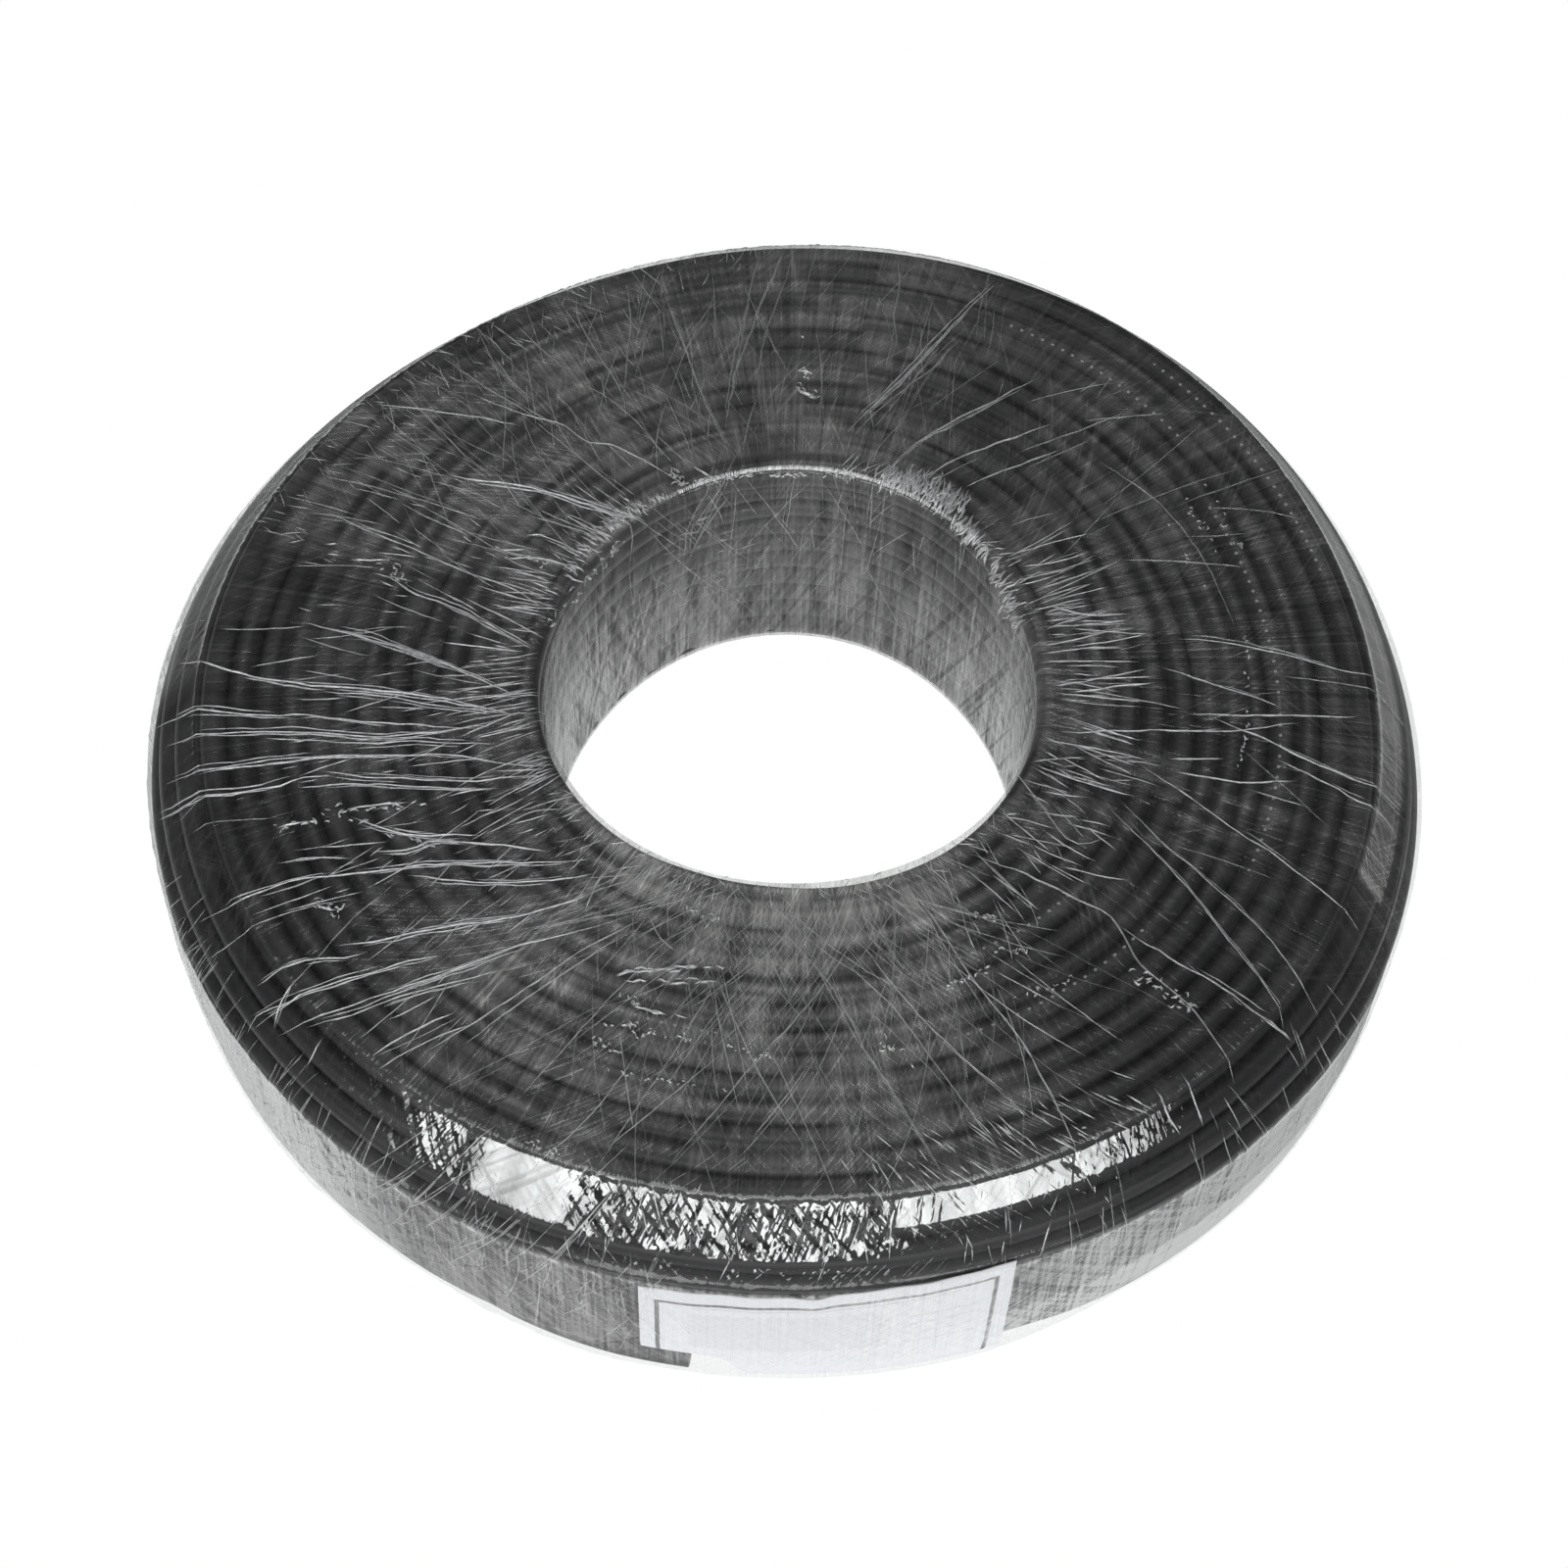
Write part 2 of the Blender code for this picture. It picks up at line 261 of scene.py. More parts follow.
def film_material(name, gloss=2.4, most=0.6, rough=0.09, streaks=1.0, wrinkle=0.6, dense=1.0, patchy=0.4, hatch=0.0, painted_crush_shade=0.0):
    """Clear stretch film in several laps: it mirrors at low angles, and a whitish haze of fine stretch lines lies in it."""
    n = Nodes(name)
    radial, right, left = (
        n.attribute("radial", "Vector"),
        n.attribute("skew_a", "Vector"),
        n.attribute("skew_b", "Vector"),
    )
    where = n.add("TexCoord").outputs["Object"]
    # long thin lines along the film's pull, and two sets crossing it
    d = dense
    broad = n.noise(n.scaled(radial, 30 * d, 30 * d, 20), 1.0, 3.0, 0.6)
    fine = n.noise(n.scaled(radial, 170 * d, 170 * d, 24), 1.0, 1.0, 0.5)
    cross_a = n.noise(n.scaled(right, 66 * d, 66 * d, 8), 1.0, 1.0, 0.4)
    cross_b = n.noise(n.scaled(left, 60 * d, 60 * d, 8), 1.0, 1.0, 0.4)
    thread = n.noise(n.scaled(radial, 80 * d, 80 * d, 12), 1.0, 1.0, 0.4)
    patch = n.noise(where, 24.0, 3.0, 0.55)
    lines = n.maths("MULTIPLY", n.line(cross_a, 0.5, 0.03), n.span(patch, 0.40, 0.6))
    lines_b = n.maths(
        "MULTIPLY", n.line(cross_b, 0.5, 0.03), n.span(patch, 0.62, 0.42)
    )
    threads = n.line(thread, 0.52, 0.022)
    haze, painted_sheen = n.attribute("haze"), n.attribute("painted_sheen")
    veil = n.span(broad, 0.28, 0.72, 0.35, 1.7)
    veil = n.maths("MULTIPLY", veil, n.span(fine, 0.25, 0.75, 0.6, 1.45))
    veil = n.maths("MULTIPLY", veil, haze)
    marks = n.maths("ADD", n.maths("ADD", lines, lines_b), threads)
    marks = n.maths(
        "MULTIPLY", marks, n.maths("ADD", n.maths("MULTIPLY", haze, 1.1), 0.01)
    )
    veil = n.maths("ADD", veil, n.maths("MULTIPLY", marks, streaks), clamp=True)
    ridge = n.maths("ADD", n.maths("MULTIPLY", fine, 0.5), broad)
    ridge = n.maths("ADD", ridge, n.maths("MULTIPLY", marks, 1.2))
    if painted_crush_shade:
        # painted shade: sharp little dashes that slant both ways, where the film is gathered, with their far sides
        # painted dark in its reflection
        gather = n.attribute("gather")
        edge_at = n.span(gather, 0.0, 1.5, 0.68, 0.44)
        dash_a = n.noise(n.scaled(n.attribute("lean_a", "Vector"), 135, 135, 150), 1.0, 2.0, 0.6)
        dash_b = n.noise(n.scaled(n.attribute("lean_b", "Vector"), 120, 120, 170), 1.0, 2.0, 0.6)
        painted_dashes = n.maths("MAXIMUM", dash_a, n.maths("SUBTRACT", dash_b, 0.02))
        painted_dashes = n.maths("MULTIPLY", n.maths("SUBTRACT", painted_dashes, edge_at), 30.0, True)
        painted_dashes = n.maths("MULTIPLY", painted_dashes, n.span(gather, 0.02, 0.2))
    bump = n.add("Bump", Strength=wrinkle, Distance=0.0004, Height=ridge)
    clear = n.add("BsdfTransparent", Color=(0.955, 0.962, 0.960, 1))
    milky = n.add("BsdfPrincipled", Roughness=0.35)
    n.put(milky, "Base Color", (0.85, 0.842, 0.832, 1))
    n.put(milky, "Normal", bump.outputs[0])
    shine = n.add("BsdfGlossy", Roughness=rough, Color=(0.95, 0.97, 0.97, 1))
    n.put(shine, "Normal", bump.outputs[0])
    facing = n.add("LayerWeight", Blend=0.5, Normal=bump.outputs[0]).outputs["Facing"]
    low = n.maths("POWER", facing, 5.0)
    mirror = n.maths("ADD", n.maths("MULTIPLY", low, 0.96), 0.04)
    # painted reflection: the mirroring is broken into broad patches and slanting lines, and with hatch into upright
    # streaks and crossed lines, for the light and dark that wrinkles would mirror
    painted_mirror_streaks = n.span(broad, 0.3, 0.7, 1 - 0.7 * patchy, 1 + 0.5 * patchy)
    slant = n.maths("MINIMUM", cross_a, n.maths("ADD", cross_b, 0.06))
    painted_mirror_streaks = n.maths(
        "MULTIPLY", painted_mirror_streaks, n.span(slant, 0.30, 0.52, 1 - 0.8 * patchy, 1 + 0.2 * patchy)
    )
    if hatch:
        upright = n.span(fine, 0.34, 0.64, 1 - 0.75 * hatch, 1 + 0.65 * hatch)
        crossed = n.maths("MAXIMUM", n.line(cross_a, 0.44, 0.07), n.line(cross_b, 0.56, 0.07))
        painted_mirror_streaks = n.maths("MULTIPLY", painted_mirror_streaks, upright)
        painted_mirror_streaks = n.maths("ADD", painted_mirror_streaks, n.maths("MULTIPLY", crossed, 0.8 * hatch))
    # painted shade: the dashes take away the reflection
    if painted_crush_shade:
        painted_mirror_streaks = n.maths(
            "MULTIPLY", painted_mirror_streaks, n.maths("SUBTRACT", 1.0, n.maths("MULTIPLY", painted_dashes, painted_crush_shade))
        )
    mirror = n.maths("MULTIPLY", n.maths("MULTIPLY", mirror, gloss), painted_mirror_streaks)
    mirror = n.maths("MINIMUM", mirror, most)
    # the painted reflection strength, read from the film's grid
    mirror = n.maths("MULTIPLY", mirror, painted_sheen, clamp=True)
    body = n.mixed(veil, clear.outputs[0], milky.outputs[0])
    return n.done(n.mixed(mirror, body, shine.outputs[0]))


def crease_material():
    """A fold of film on edge: milky, glossy, and thinner where its strength is less."""
    n = Nodes("film_crease")
    where = n.add("TexCoord").outputs["Object"]
    strength = n.attribute("strength")
    flicker = n.span(n.noise(where, 420.0, 2.0, 0.6), 0.3, 0.6, 0.5, 1.05)
    solid = n.maths("MULTIPLY", strength, flicker, clamp=True)
    milky = n.add("BsdfPrincipled", Roughness=0.3)
    n.put(milky, "Base Color", (0.95, 0.96, 0.97, 1))
    shine = n.add("BsdfGlossy", Roughness=0.32, Color=(0.96, 0.97, 0.98, 1))
    clear = n.add("BsdfTransparent", Color=(1, 1, 1, 1))
    fold = n.mixed(0.38, milky.outputs[0], shine.outputs[0])
    return n.done(n.mixed(solid, clear.outputs[0], fold))


def paper_material():
    """White self-adhesive paper: a thin grey border, a plain pale panel and blank rules, all generic."""
    n = Nodes("label_paper")
    across, up = n.attribute("across"), n.attribute("up")
    where = n.add("TexCoord").outputs["Object"]
    fibre = n.noise(where, 700.0, 4.0, 0.6)
    width, height = 85.0, 52.0
    inset, thick = 4.1, 0.75

    def band(value, at, half):
        return n.line(value, at, half)

    def between(value, low, high):
        return n.maths(
            "MULTIPLY",
            n.maths("GREATER_THAN", value, low),
            n.maths("LESS_THAN", value, high),
        )

    def sharp(value):
        return n.span(value, 0.15, 0.45)

    inside_x = between(across, inset - 0.5, width - inset + 0.5)
    inside_y = between(up, inset - 0.5, height - 5.1)
    sides = n.maths(
        "ADD", band(across, inset, thick), band(across, width - inset, thick)
    )
    ends = n.maths("ADD", band(up, inset, thick), band(up, height - 5.6, thick))
    border = n.maths(
        "ADD",
        n.maths("MULTIPLY", sides, inside_y),
        n.maths("MULTIPLY", ends, inside_x),
        clamp=True,
    )
    rules = n.maths("MULTIPLY", band(up, 44.6, 0.30), between(across, 12, 73))
    for height_at in (36.0, 31.5, 27.0, 22.5):
        rule = n.maths("MULTIPLY", band(up, height_at, 0.26), between(across, 61, 77))
        rules = n.maths("ADD", rules, rule, clamp=True)
    panel = n.maths("MULTIPLY", between(across, 11, 57), between(up, 22, 41))
    base = n.colour(fibre, (0.77, 0.775, 0.82), (0.84, 0.845, 0.88))
    ink = n.maths("MULTIPLY", sharp(border), 0.95)
    ink = n.maths("ADD", ink, n.maths("MULTIPLY", sharp(rules), 0.30), clamp=True)
    ink = n.maths("ADD", ink, n.maths("MULTIPLY", panel, 0.08), clamp=True)
    mix = n.add("Mix", {"data_type": "RGBA"})
    n.put(mix, "0", ink)
    n.tree.links.new(base, mix.inputs[6])
    mix.inputs[7].default_value = (0.07, 0.07, 0.085, 1)
    bump = n.add("Bump", Strength=0.2, Distance=0.0001, Height=fibre)
    shader = n.add("BsdfPrincipled", Roughness=0.62)
    n.put(shader, "Base Color", mix.outputs[2])
    n.put(shader, "Normal", bump.outputs[0])
    return n.done(shader.outputs[0])


def plain_material(name, colour, roughness, metallic=0.0, bump_scale=800.0):
    n = Nodes(name)
    where = n.add("TexCoord").outputs["Object"]
    grain = n.noise(where, bump_scale, 3.0, 0.6)
    low = tuple(c * 0.8 for c in colour)
    bump = n.add("Bump", Strength=0.2, Distance=0.0001, Height=grain)
    shader = n.add("BsdfPrincipled", Metallic=metallic)
    n.put(shader, "Base Color", n.colour(grain, low, colour))
    n.put(shader, "Roughness", n.span(grain, 0.2, 0.8, roughness - 0.06, roughness + 0.06))
    n.put(shader, "Normal", bump.outputs[0])
    return n.done(shader.outputs[0])


# ---- meshes ---------------------------------------------------------------------
def mesh_object(name, points, quads, material, attributes=None, normals=None):
    """quads is an array of rows of four corners; a row whose last two are the same is a triangle."""
    mesh = bpy.data.meshes.new(name)
    points = np.asarray(points, np.float32).reshape(-1, 3)
    quads = np.asarray(quads, np.int32)
    flat = quads[:, 2] == quads[:, 3]
    sizes = np.where(flat, 3, 4)
    starts = np.concatenate([[0], np.cumsum(sizes)[:-1]])
    keep = np.ones(quads.shape, bool)
    keep[flat, 3] = False
    loops = quads[keep]
    mesh.vertices.add(len(points))
    mesh.vertices.foreach_set("co", points.ravel())
    mesh.loops.add(len(loops))
    mesh.loops.foreach_set("vertex_index", loops)
    mesh.polygons.add(len(quads))
    mesh.polygons.foreach_set("loop_start", starts.astype(np.int32))
    mesh.polygons.foreach_set("loop_total", sizes.astype(np.int32))
    mesh.update(calc_edges=True)
    mesh.validate()
    for key, value in (attributes or {}).items():
        value = np.asarray(value, np.float32)
        if value.ndim == 2:
            mesh.attributes.new(key, "FLOAT_VECTOR", "POINT").data.foreach_set(
                "vector", value.ravel()
            )
        else:
            mesh.attributes.new(key, "FLOAT", "POINT").data.foreach_set("value", value)
    mesh.shade_smooth()
    if normals is not None:
        mesh.normals_split_custom_set_from_vertices(
            np.asarray(normals, float).reshape(-1, 3)
        )
    mesh.materials.append(material)
    obj = bpy.data.objects.new(name, mesh)
    bpy.context.scene.collection.objects.link(obj)
    return obj


def grid_quads(columns, rows, close_u=True, close_v=False, first=0):
    """Faces of a grid whose points are numbered column by column, facing out."""
    u = np.arange(columns if close_u else columns - 1)
    v = np.arange(rows if close_v else rows - 1)
    uu, vv = np.meshgrid(u, v, indexing="ij")
    u2, v2 = (uu + 1) % columns, (vv + 1) % rows
    return first + np.stack(
        [uu * rows + vv, u2 * rows + vv, u2 * rows + v2, uu * rows + v2], -1
    ).reshape(-1, 4)


def finish_piece(obj, slot, *nodes):
    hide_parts(*nodes)
    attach(obj, "root")
    return obj


# ---- the film's section ---------------------------------------------------------
def section_corners(full):
    corner = FULL_CORNER if full else SLACK_CORNER
    return [
        (BORE_R + RIM, 0.0),
        (BORE_R, RIM),
        (BORE_R, HEIGHT - ROUND),
        (BORE_R + 0.29 * ROUND, HEIGHT - 0.29 * ROUND),
        (BORE_R + ROUND, HEIGHT),
        SHOULDER_IN,
        SHOULDER_MID,
        SHOULDER_OUT,
        WALL_KINK,
        *corner,
    ]


# Rows of the grid along each side of the section, and the side's share of softening at its end corner.
SIDES = (4, 35, 5, 5, 57, 16, 11, 15, 13, 5, 6, 26)
BORE_ROWS = (0, 44)
TOP_ROWS = (44, 106)
SHOULDER_ROWS = (106, 133)
WALL_ROWS = (133, 172)
BASE_ROWS = (172, 198)


def section_rows(full):
    """The film's section as rows of (radius, height), with its corners eased."""
    corners = np.array(section_corners(full))
    dense, marks = [], []
    per = 40
    for k in range(len(corners)):
        a, b = corners[k], corners[(k + 1) % len(corners)]
        for i in range(SIDES[k] * per):
            dense.append(a + (b - a) * i / (SIDES[k] * per))
        steps = [i * per for i in range(SIDES[k])]
        if k == 4:
            steps[-2:] = [steps[-1] - per // 4, steps[-1] + 5 * per // 9]
        marks += [sum(SIDES[:k]) * per + step for step in steps]
    dense = np.array(dense)
    eased = dense.copy()
    for _ in range(2):
        total = np.zeros_like(eased)
        reach = 22
        for shift in range(-reach, reach + 1, 2):
            total += np.roll(eased, shift, 0)
        eased = total / len(range(-reach, reach + 1, 2))
    eased[:, 1] = np.clip(eased[:, 1], 0, HEIGHT)
    return eased[marks]


def fullness(degrees):
    rise = np.clip((degrees - 238) / 15, 0, 1)
    fall = np.clip((302 - degrees) / 12, 0, 1)
    return 0.8 * np.minimum(rise, fall)


class Film:
    """The film's grid: COLUMNS round the ring and one row for each point of the section, from the bore's foot up and over."""

    def __init__(self, columns=COLUMNS):
        self.columns = columns
        self.degrees = np.arange(columns) * 360 / columns
        turn = (self.degrees / 360)[:, None]
        deg = self.degrees[:, None]
        slack, full = section_rows(False), section_rows(True)
        f = fullness(self.degrees)[:, None, None]
        rows = slack[None] * (1 - f) + full[None] * f
        radius, height = rows[..., 0], rows[..., 1]
        step = np.hypot(*np.diff(slack, axis=0, append=slack[:1]).T)
        s = np.concatenate([[0], np.cumsum(step)[:-1]])
        self.s = s - s[TOP_ROWS[0]]  # 0 at the bore's upper rim, growing outwards
        self.length = step.sum()
        self.radius, self.height = radius, height
        # outward normals of the section in (radius, height)
        ahead = np.roll(rows, -1, 1) - np.roll(rows, 1, 1)
        ahead /= np.linalg.norm(ahead, axis=-1, keepdims=True)
        nr, nz = -ahead[..., 1], ahead[..., 0]
        lift = self.relief(turn, deg, radius, height, self.s[None])
        radius2 = radius + nr * lift
        height2 = np.maximum(height + nz * lift, 0.0)
        self.points = place(radius2, height2, deg)
        du = np.roll(self.points, -1, 0) - np.roll(self.points, 1, 0)
        dv = np.roll(self.points, -1, 1) - np.roll(self.points, 1, 1)
        normals = np.cross(dv, du)
        self.normals = normals / np.linalg.norm(normals, axis=-1, keepdims=True)
        self.haze = self.milkiness(turn, deg, radius, height, self.s[None])
        self.painted_sheen = self.painted_mirror_share(turn, deg, radius, height, self.s[None])
        self.gather = self.gathered(turn, deg, radius, self.s[None])

    def relief(self, turn, deg, radius, height, s):
        """How far the film stands out of its plain section, in metres."""
        top = smooth((height - 0.0685) / 0.0008) * smooth((radius - 0.0622) / 0.0012)
        top = top * smooth((0.1425 - radius) / 0.0015)
        base = smooth((0.004 - height) / 0.003)
        wall = smooth((radius - 0.1500) / 0.003) * smooth((0.0535 - height) / 0.004)
        wall = wall * smooth((height - 0.001) / 0.006)
        bore = smooth((BORE_R + 0.0012 - radius) / 0.0008)
        bore = bore * smooth((height - 0.001) / 0.004)
        bore = bore * smooth((HEIGHT - 0.0035 - height) / 0.003)
        shoulder = smooth((radius - 0.1405) / 0.002) * smooth((height - 0.0505) / 0.003)

        crown = crown_phase(turn, radius)
        lift = top * (-0.00028 - 0.00013 * (1 - crown))
        lift = lift + top * 0.00014 * ridged(21, turn + s * 0.5, s * 22, 110, 4)
        lift = lift + top * 0.00010 * ridged(22, turn - s * 1.4, s * 14, 170, 4)
        lift = lift + top * 0.00004 * (noise(23, turn, s * 160, 300) - 0.5)

        # the shoulder: crumpled at the front, taut at the front left and front right, and lightly creased elsewhere
        crumple = 0.22 + 0.8 * near(deg, 266.5, 12.5, 7) + 0.35 * near(deg, 120, 35, 20)
        crumple = crumple + 0.7 * near(deg, 240, 4, 2)
        crumple = crumple * (1 - 0.95 * near(deg, 248.0, 3.4, 2.0))
        crumple = crumple * (1 - 0.85 * near(deg, 288, 6, 4))
        crumple = crumple * (1 - 0.6 * near(deg, 350, 28, 12))
        folds = (noise(31, turn + s * 0.45, s * 170, 1250) - 0.5) * 0.00034
        folds = folds + (noise(32, turn - s * 0.90, s * 200, 900) - 0.5) * 0.00044
        folds = folds + ridged(33, turn + s * 0.15, s * 90, 520, 3) * 0.00022
        folds = folds + (noise(34, turn, s * 700, 1280) - 0.5) * 0.00012
        folds = folds * (0.12 + 0.88 * smooth((0.1510 - radius) / 0.0015))
        # the film bends over the two outer turns, so its upper slope is two facets
        across = (s - self.s[SHOULDER_ROWS[0]]) / 0.01426
        bend = np.clip(1 - np.abs(2 * across - 1), 0, 1)
        bend = bend * (0.00062 * near(deg, 294, 14, 4) + 0.00016 * near(deg, 244, 7, 4))
        lift = lift + shoulder * (crumple * folds + bend - 0.00035)

        # the wall: upright wrinkles that lean a little
        lean = turn + s * 0.35
        upright = ridged(41, lean, s * 24, 150, 3) * 0.00032
        upright = upright + ridged(42, turn - s * 0.9, s * 30, 230, 4) * 0.00026
        upright = upright + (noise(43, turn, s * 90, 420) - 0.5) * 0.00016
        tense = 0.75 + 0.5 * near(deg, 238, 18, 10) - 0.35 * near(deg, 320, 40, 20)
        lift = lift + wall * (tense * upright - 0.00022)

        # the bore: the same, closer together
        tight = ridged(51, turn + s * 1.2, s * 26, 96, 3) * 0.00030
        tight = tight + (noise(52, turn, s * 60, 150) - 0.5) * 0.00018
        lift = lift + bore * (tight - 0.00026)
        lift = lift + base * 0.00008 * (noise(61, turn, s * 120, 200) - 1.0)
        return lift

    def milkiness(self, turn, deg, radius, height, s):
        """How much whitish haze the film carries, from 0 to 1, with painted highlight and painted shade worked into it
        in places.
        """
        out = (radius - BORE_R) / (SHOULDER_IN[0] - BORE_R)
        left = near(deg, 175, 60, 40)
        front = near(deg, 264, 24, 24) * (0.35 + 0.65 * smooth(1.15 - out))
        back = near(deg, 118, 30, 25)
        right = near(deg, 345, 45, 30)
        back_right = near(deg, 45, 28, 25)
        rim = smooth((0.35 - out) / 0.35)
        back_left = near(deg, 138, 16, 20)
        haze = 0.034 + 0.016 * left * (1 - 1.5 * smooth((out - 0.62) / 0.2)) + 0.070 * back
        haze = haze + (0.140 + 0.095 * rim) * front + 0.038 * back_right + 0.016 * right + 0.020 * rim
        haze = haze + 0.020 * back_left - 0.030 * near(deg, 318, 14, 12) * smooth((out - 0.45) / 0.2)
        haze = np.maximum(haze, 0.012)
        crown = crown_phase(turn, radius)
        on_top = smooth((height - 0.066) / 0.002) * smooth((0.1425 - radius) / 0.002)
        # Where the film clings to a turn there is no air under it, and it looks clear.
        layer = np.floor((radius - FIRST_R) / LAYER_PITCH + 0.5)
        cling = noise(73, turn, layer * 1.37 + 2, 46)
        cling = smooth((cling - 0.40) / 0.16) * (1 - 0.6 * crown**4)
        # Along each crown it shows a thin pale ring, a painted highlight over the turn's crown.
        ring = crown**5 * (0.25 + noise(74, turn, layer * 0.9 + 4, 34))
        haze = haze * (1 - on_top * (0.12 + 0.60 * cling))
        haze = haze + on_top * ring * (0.022 + 0.60 * haze)
        on_wall = smooth((0.052 - height) / 0.004)
        on_shoulder = smooth((radius - 0.1405) / 0.003) * smooth((height - 0.0500) / 0.002)
        # painted shade: the haze is cut on the shoulder's front, where the front lamps light it most
        haze = haze * (1 - 0.85 * on_shoulder * near(deg, 270, 50, 20))
        haze = haze * (1 - 0.7 * on_wall) + 0.045 * on_wall * (0.4 + noise(71, turn, s * 8, 40))
        # painted shade: less haze near the foot, where the floor lights it
        lowest = smooth((0.013 - height) / 0.004) * smooth((radius - 0.140) / 0.002)
        haze = haze * (1 - 0.5 * lowest)
        # two facets on the shoulder, at the right and at the back left, are given more haze, a painted lightness
        across = (s - self.s[SHOULDER_ROWS[0]]) / 0.01426
        facet = smooth((across - 0.06) / 0.03) * smooth((0.60 - across) / 0.03)
        wide = smooth((across - 0.03) / 0.03) * smooth((0.80 - across) / 0.04)
        haze = haze + 0.12 * wide * near(deg, 351, 11, 1.2) + 0.045 * wide * near(deg, 8, 5, 1.2)
        haze = haze + 0.075 * facet * near(deg, 121, 15, 6)
        # painted shade: less haze on the outer edge at the right, where the floor lights it
        haze = haze * (1 - 0.7 * smooth((radius - 0.1480) / 0.002) * near(deg, 18, 28, 12))
        # in the bore the haze lessens towards the upper edge at the back, as painted shade, and rises at its foot
        in_bore = smooth((BORE_R + 0.0022 - radius) / 0.0010) * smooth((HEIGHT - 0.0004 - height) / 0.0008)
        up = smooth((height - 0.016) / 0.045)
        haze = haze * (1 - in_bore) + in_bore * (
            0.115 * (1 - 0.50 * up * near(deg, 95, 45, 50)) + 0.5 * smooth((0.004 - height) / 0.003)
        )
        return np.clip(haze * (0.7 + 0.6 * noise(72, turn, s * 25, 36)), 0.0, 1.0)

    def gathered(self, turn, deg, radius, s):
        """Where the shoulder's film is gathered into fine dashes, from 0 to 1; the more, the more of its reflection the
        dashes cover with painted shade.
        """
        share = near(deg, 266.5, 13, 3) + 1.5 * near(deg, 234, 9, 2) + 0.55 * near(deg, 299, 4, 3)
        share = share - 0.45 * near(deg, 239.2, 1.0, 0.6) - 0.45 * near(deg, 242.4, 1.0, 0.6)
        share = share + 0.30 * near(deg, 284, 2, 4) + 0.11 * near(deg, 290, 5, 3)
        share = share * (0.55 + 0.8 * noise(75, turn, s * 90, 190))
        return np.clip(share, 0, 1.5) * smooth((0.1512 - radius) / 0.0010)

    def painted_mirror_share(self, turn, deg, radius, height, s):
        """Painted reflection: how much of its mirroring the film shows at each spot, set place by place to dim or
        brighten what it mirrors.
        """
        share = np.ones_like(radius)
        outside = smooth((radius - 0.1405) / 0.003) * smooth((height - 0.0500) / 0.002)
        # painted shade of the reflection: the shoulder is dull all round but in front, and on the back left
        painted_dimming = near(deg, 160, 52, 18)
        share = share * (1 - 0.88 * outside * painted_dimming)
        share = share * (1 - 0.80 * outside * near(deg, 20, 62, 20))
        share = share * (1 - 0.45 * outside * near(deg, 318, 10, 5))
        share = share * (1 - 0.92 * outside * near(deg, 209, 26, 3))
        share = share * (1 - 0.65 * smooth((radius - 0.1480) / 0.002) * near(deg, 18, 40, 15))
        # painted shade of the reflection: at the front left its slope lies in two strips, with a fine dark seam between
        across = (s - self.s[SHOULDER_ROWS[0]]) / 0.01426
        strip = outside * near(deg, 248, 6, 3)
        seam = np.clip(1 - np.abs(across - 0.40) / 0.022, 0, 1)
        share = share * (1 - strip * (0.75 * seam + 0.14 * smooth((across - 0.40) / 0.02)))
        # its lower bend looks down at the floor like the wall, and painted shade dims its reflection so that it is no
        # brighter
        share = share * (1 - 0.80 * outside * smooth((0.0548 - height) / 0.0012))
        # painted shade of the reflection on the wall and at its foot
        wall = smooth((0.0505 - height) / 0.002) * smooth((radius - 0.140) / 0.002)
        share = share * (1 - 0.62 * wall * near(deg, 254, 14, 14))
        upper = smooth((height - 0.0262) / 0.0008)
        share = share * (1 - wall * (0.12 + 0.25 * upper * near(deg, 318, 28, 8)))
        low = smooth((0.013 - height) / 0.004) * smooth((radius - 0.140) / 0.002)
        share = share * (1 - 0.80 * low)
        # painted shade of the reflection: the bore is darker towards its upper edge, most at the back
        bore = smooth((BORE_R + 0.0016 - radius) / 0.0008)
        up = smooth((height - 0.012) / 0.052)
        share = share * (1 - bore * (0.36 + 0.62 * up * (0.62 + 0.38 * near(deg, 95, 35, 45))))
        # painted highlight: the mirroring is raised up to sixfold along the back of the bore's upper rim, and painted
        # shade dims the rim's front
        rim = smooth((height - 0.0655) / 0.0015) * smooth((0.0638 - radius) / 0.0010)
        painted_glint = smooth((height - 0.0672) / 0.0006) * smooth((0.0622 - radius) / 0.0006)
        share = share * (1 + 5.0 * painted_glint * near(deg, 84, 30, 12))
        share = share * (1 - 0.75 * rim * near(deg, 270, 75, 30))
        return np.clip(share, 0, 4)

    def piece(self, name, rows, material, every=1):
        """Rows of the grid as one object."""
        a, b = rows
        index = np.arange(a, b + 1) % self.points.shape[1]
        points = self.points[::every][:, index]
        normals = self.normals[::every][:, index]
        columns, count = points.shape[:2]
        theta = np.radians(self.degrees[::every])[:, None]
        s = self.s[index][None]
        if b >= self.points.shape[1]:
            s = s.copy()
            s[0, -1] = self.s[-1] + 0.003

        def round_ring(skew):
            t = theta + skew * s
            return np.stack(
                np.broadcast_arrays(np.cos(t), np.sin(t), s + 0 * t), -1
            ).reshape(-1, 3)

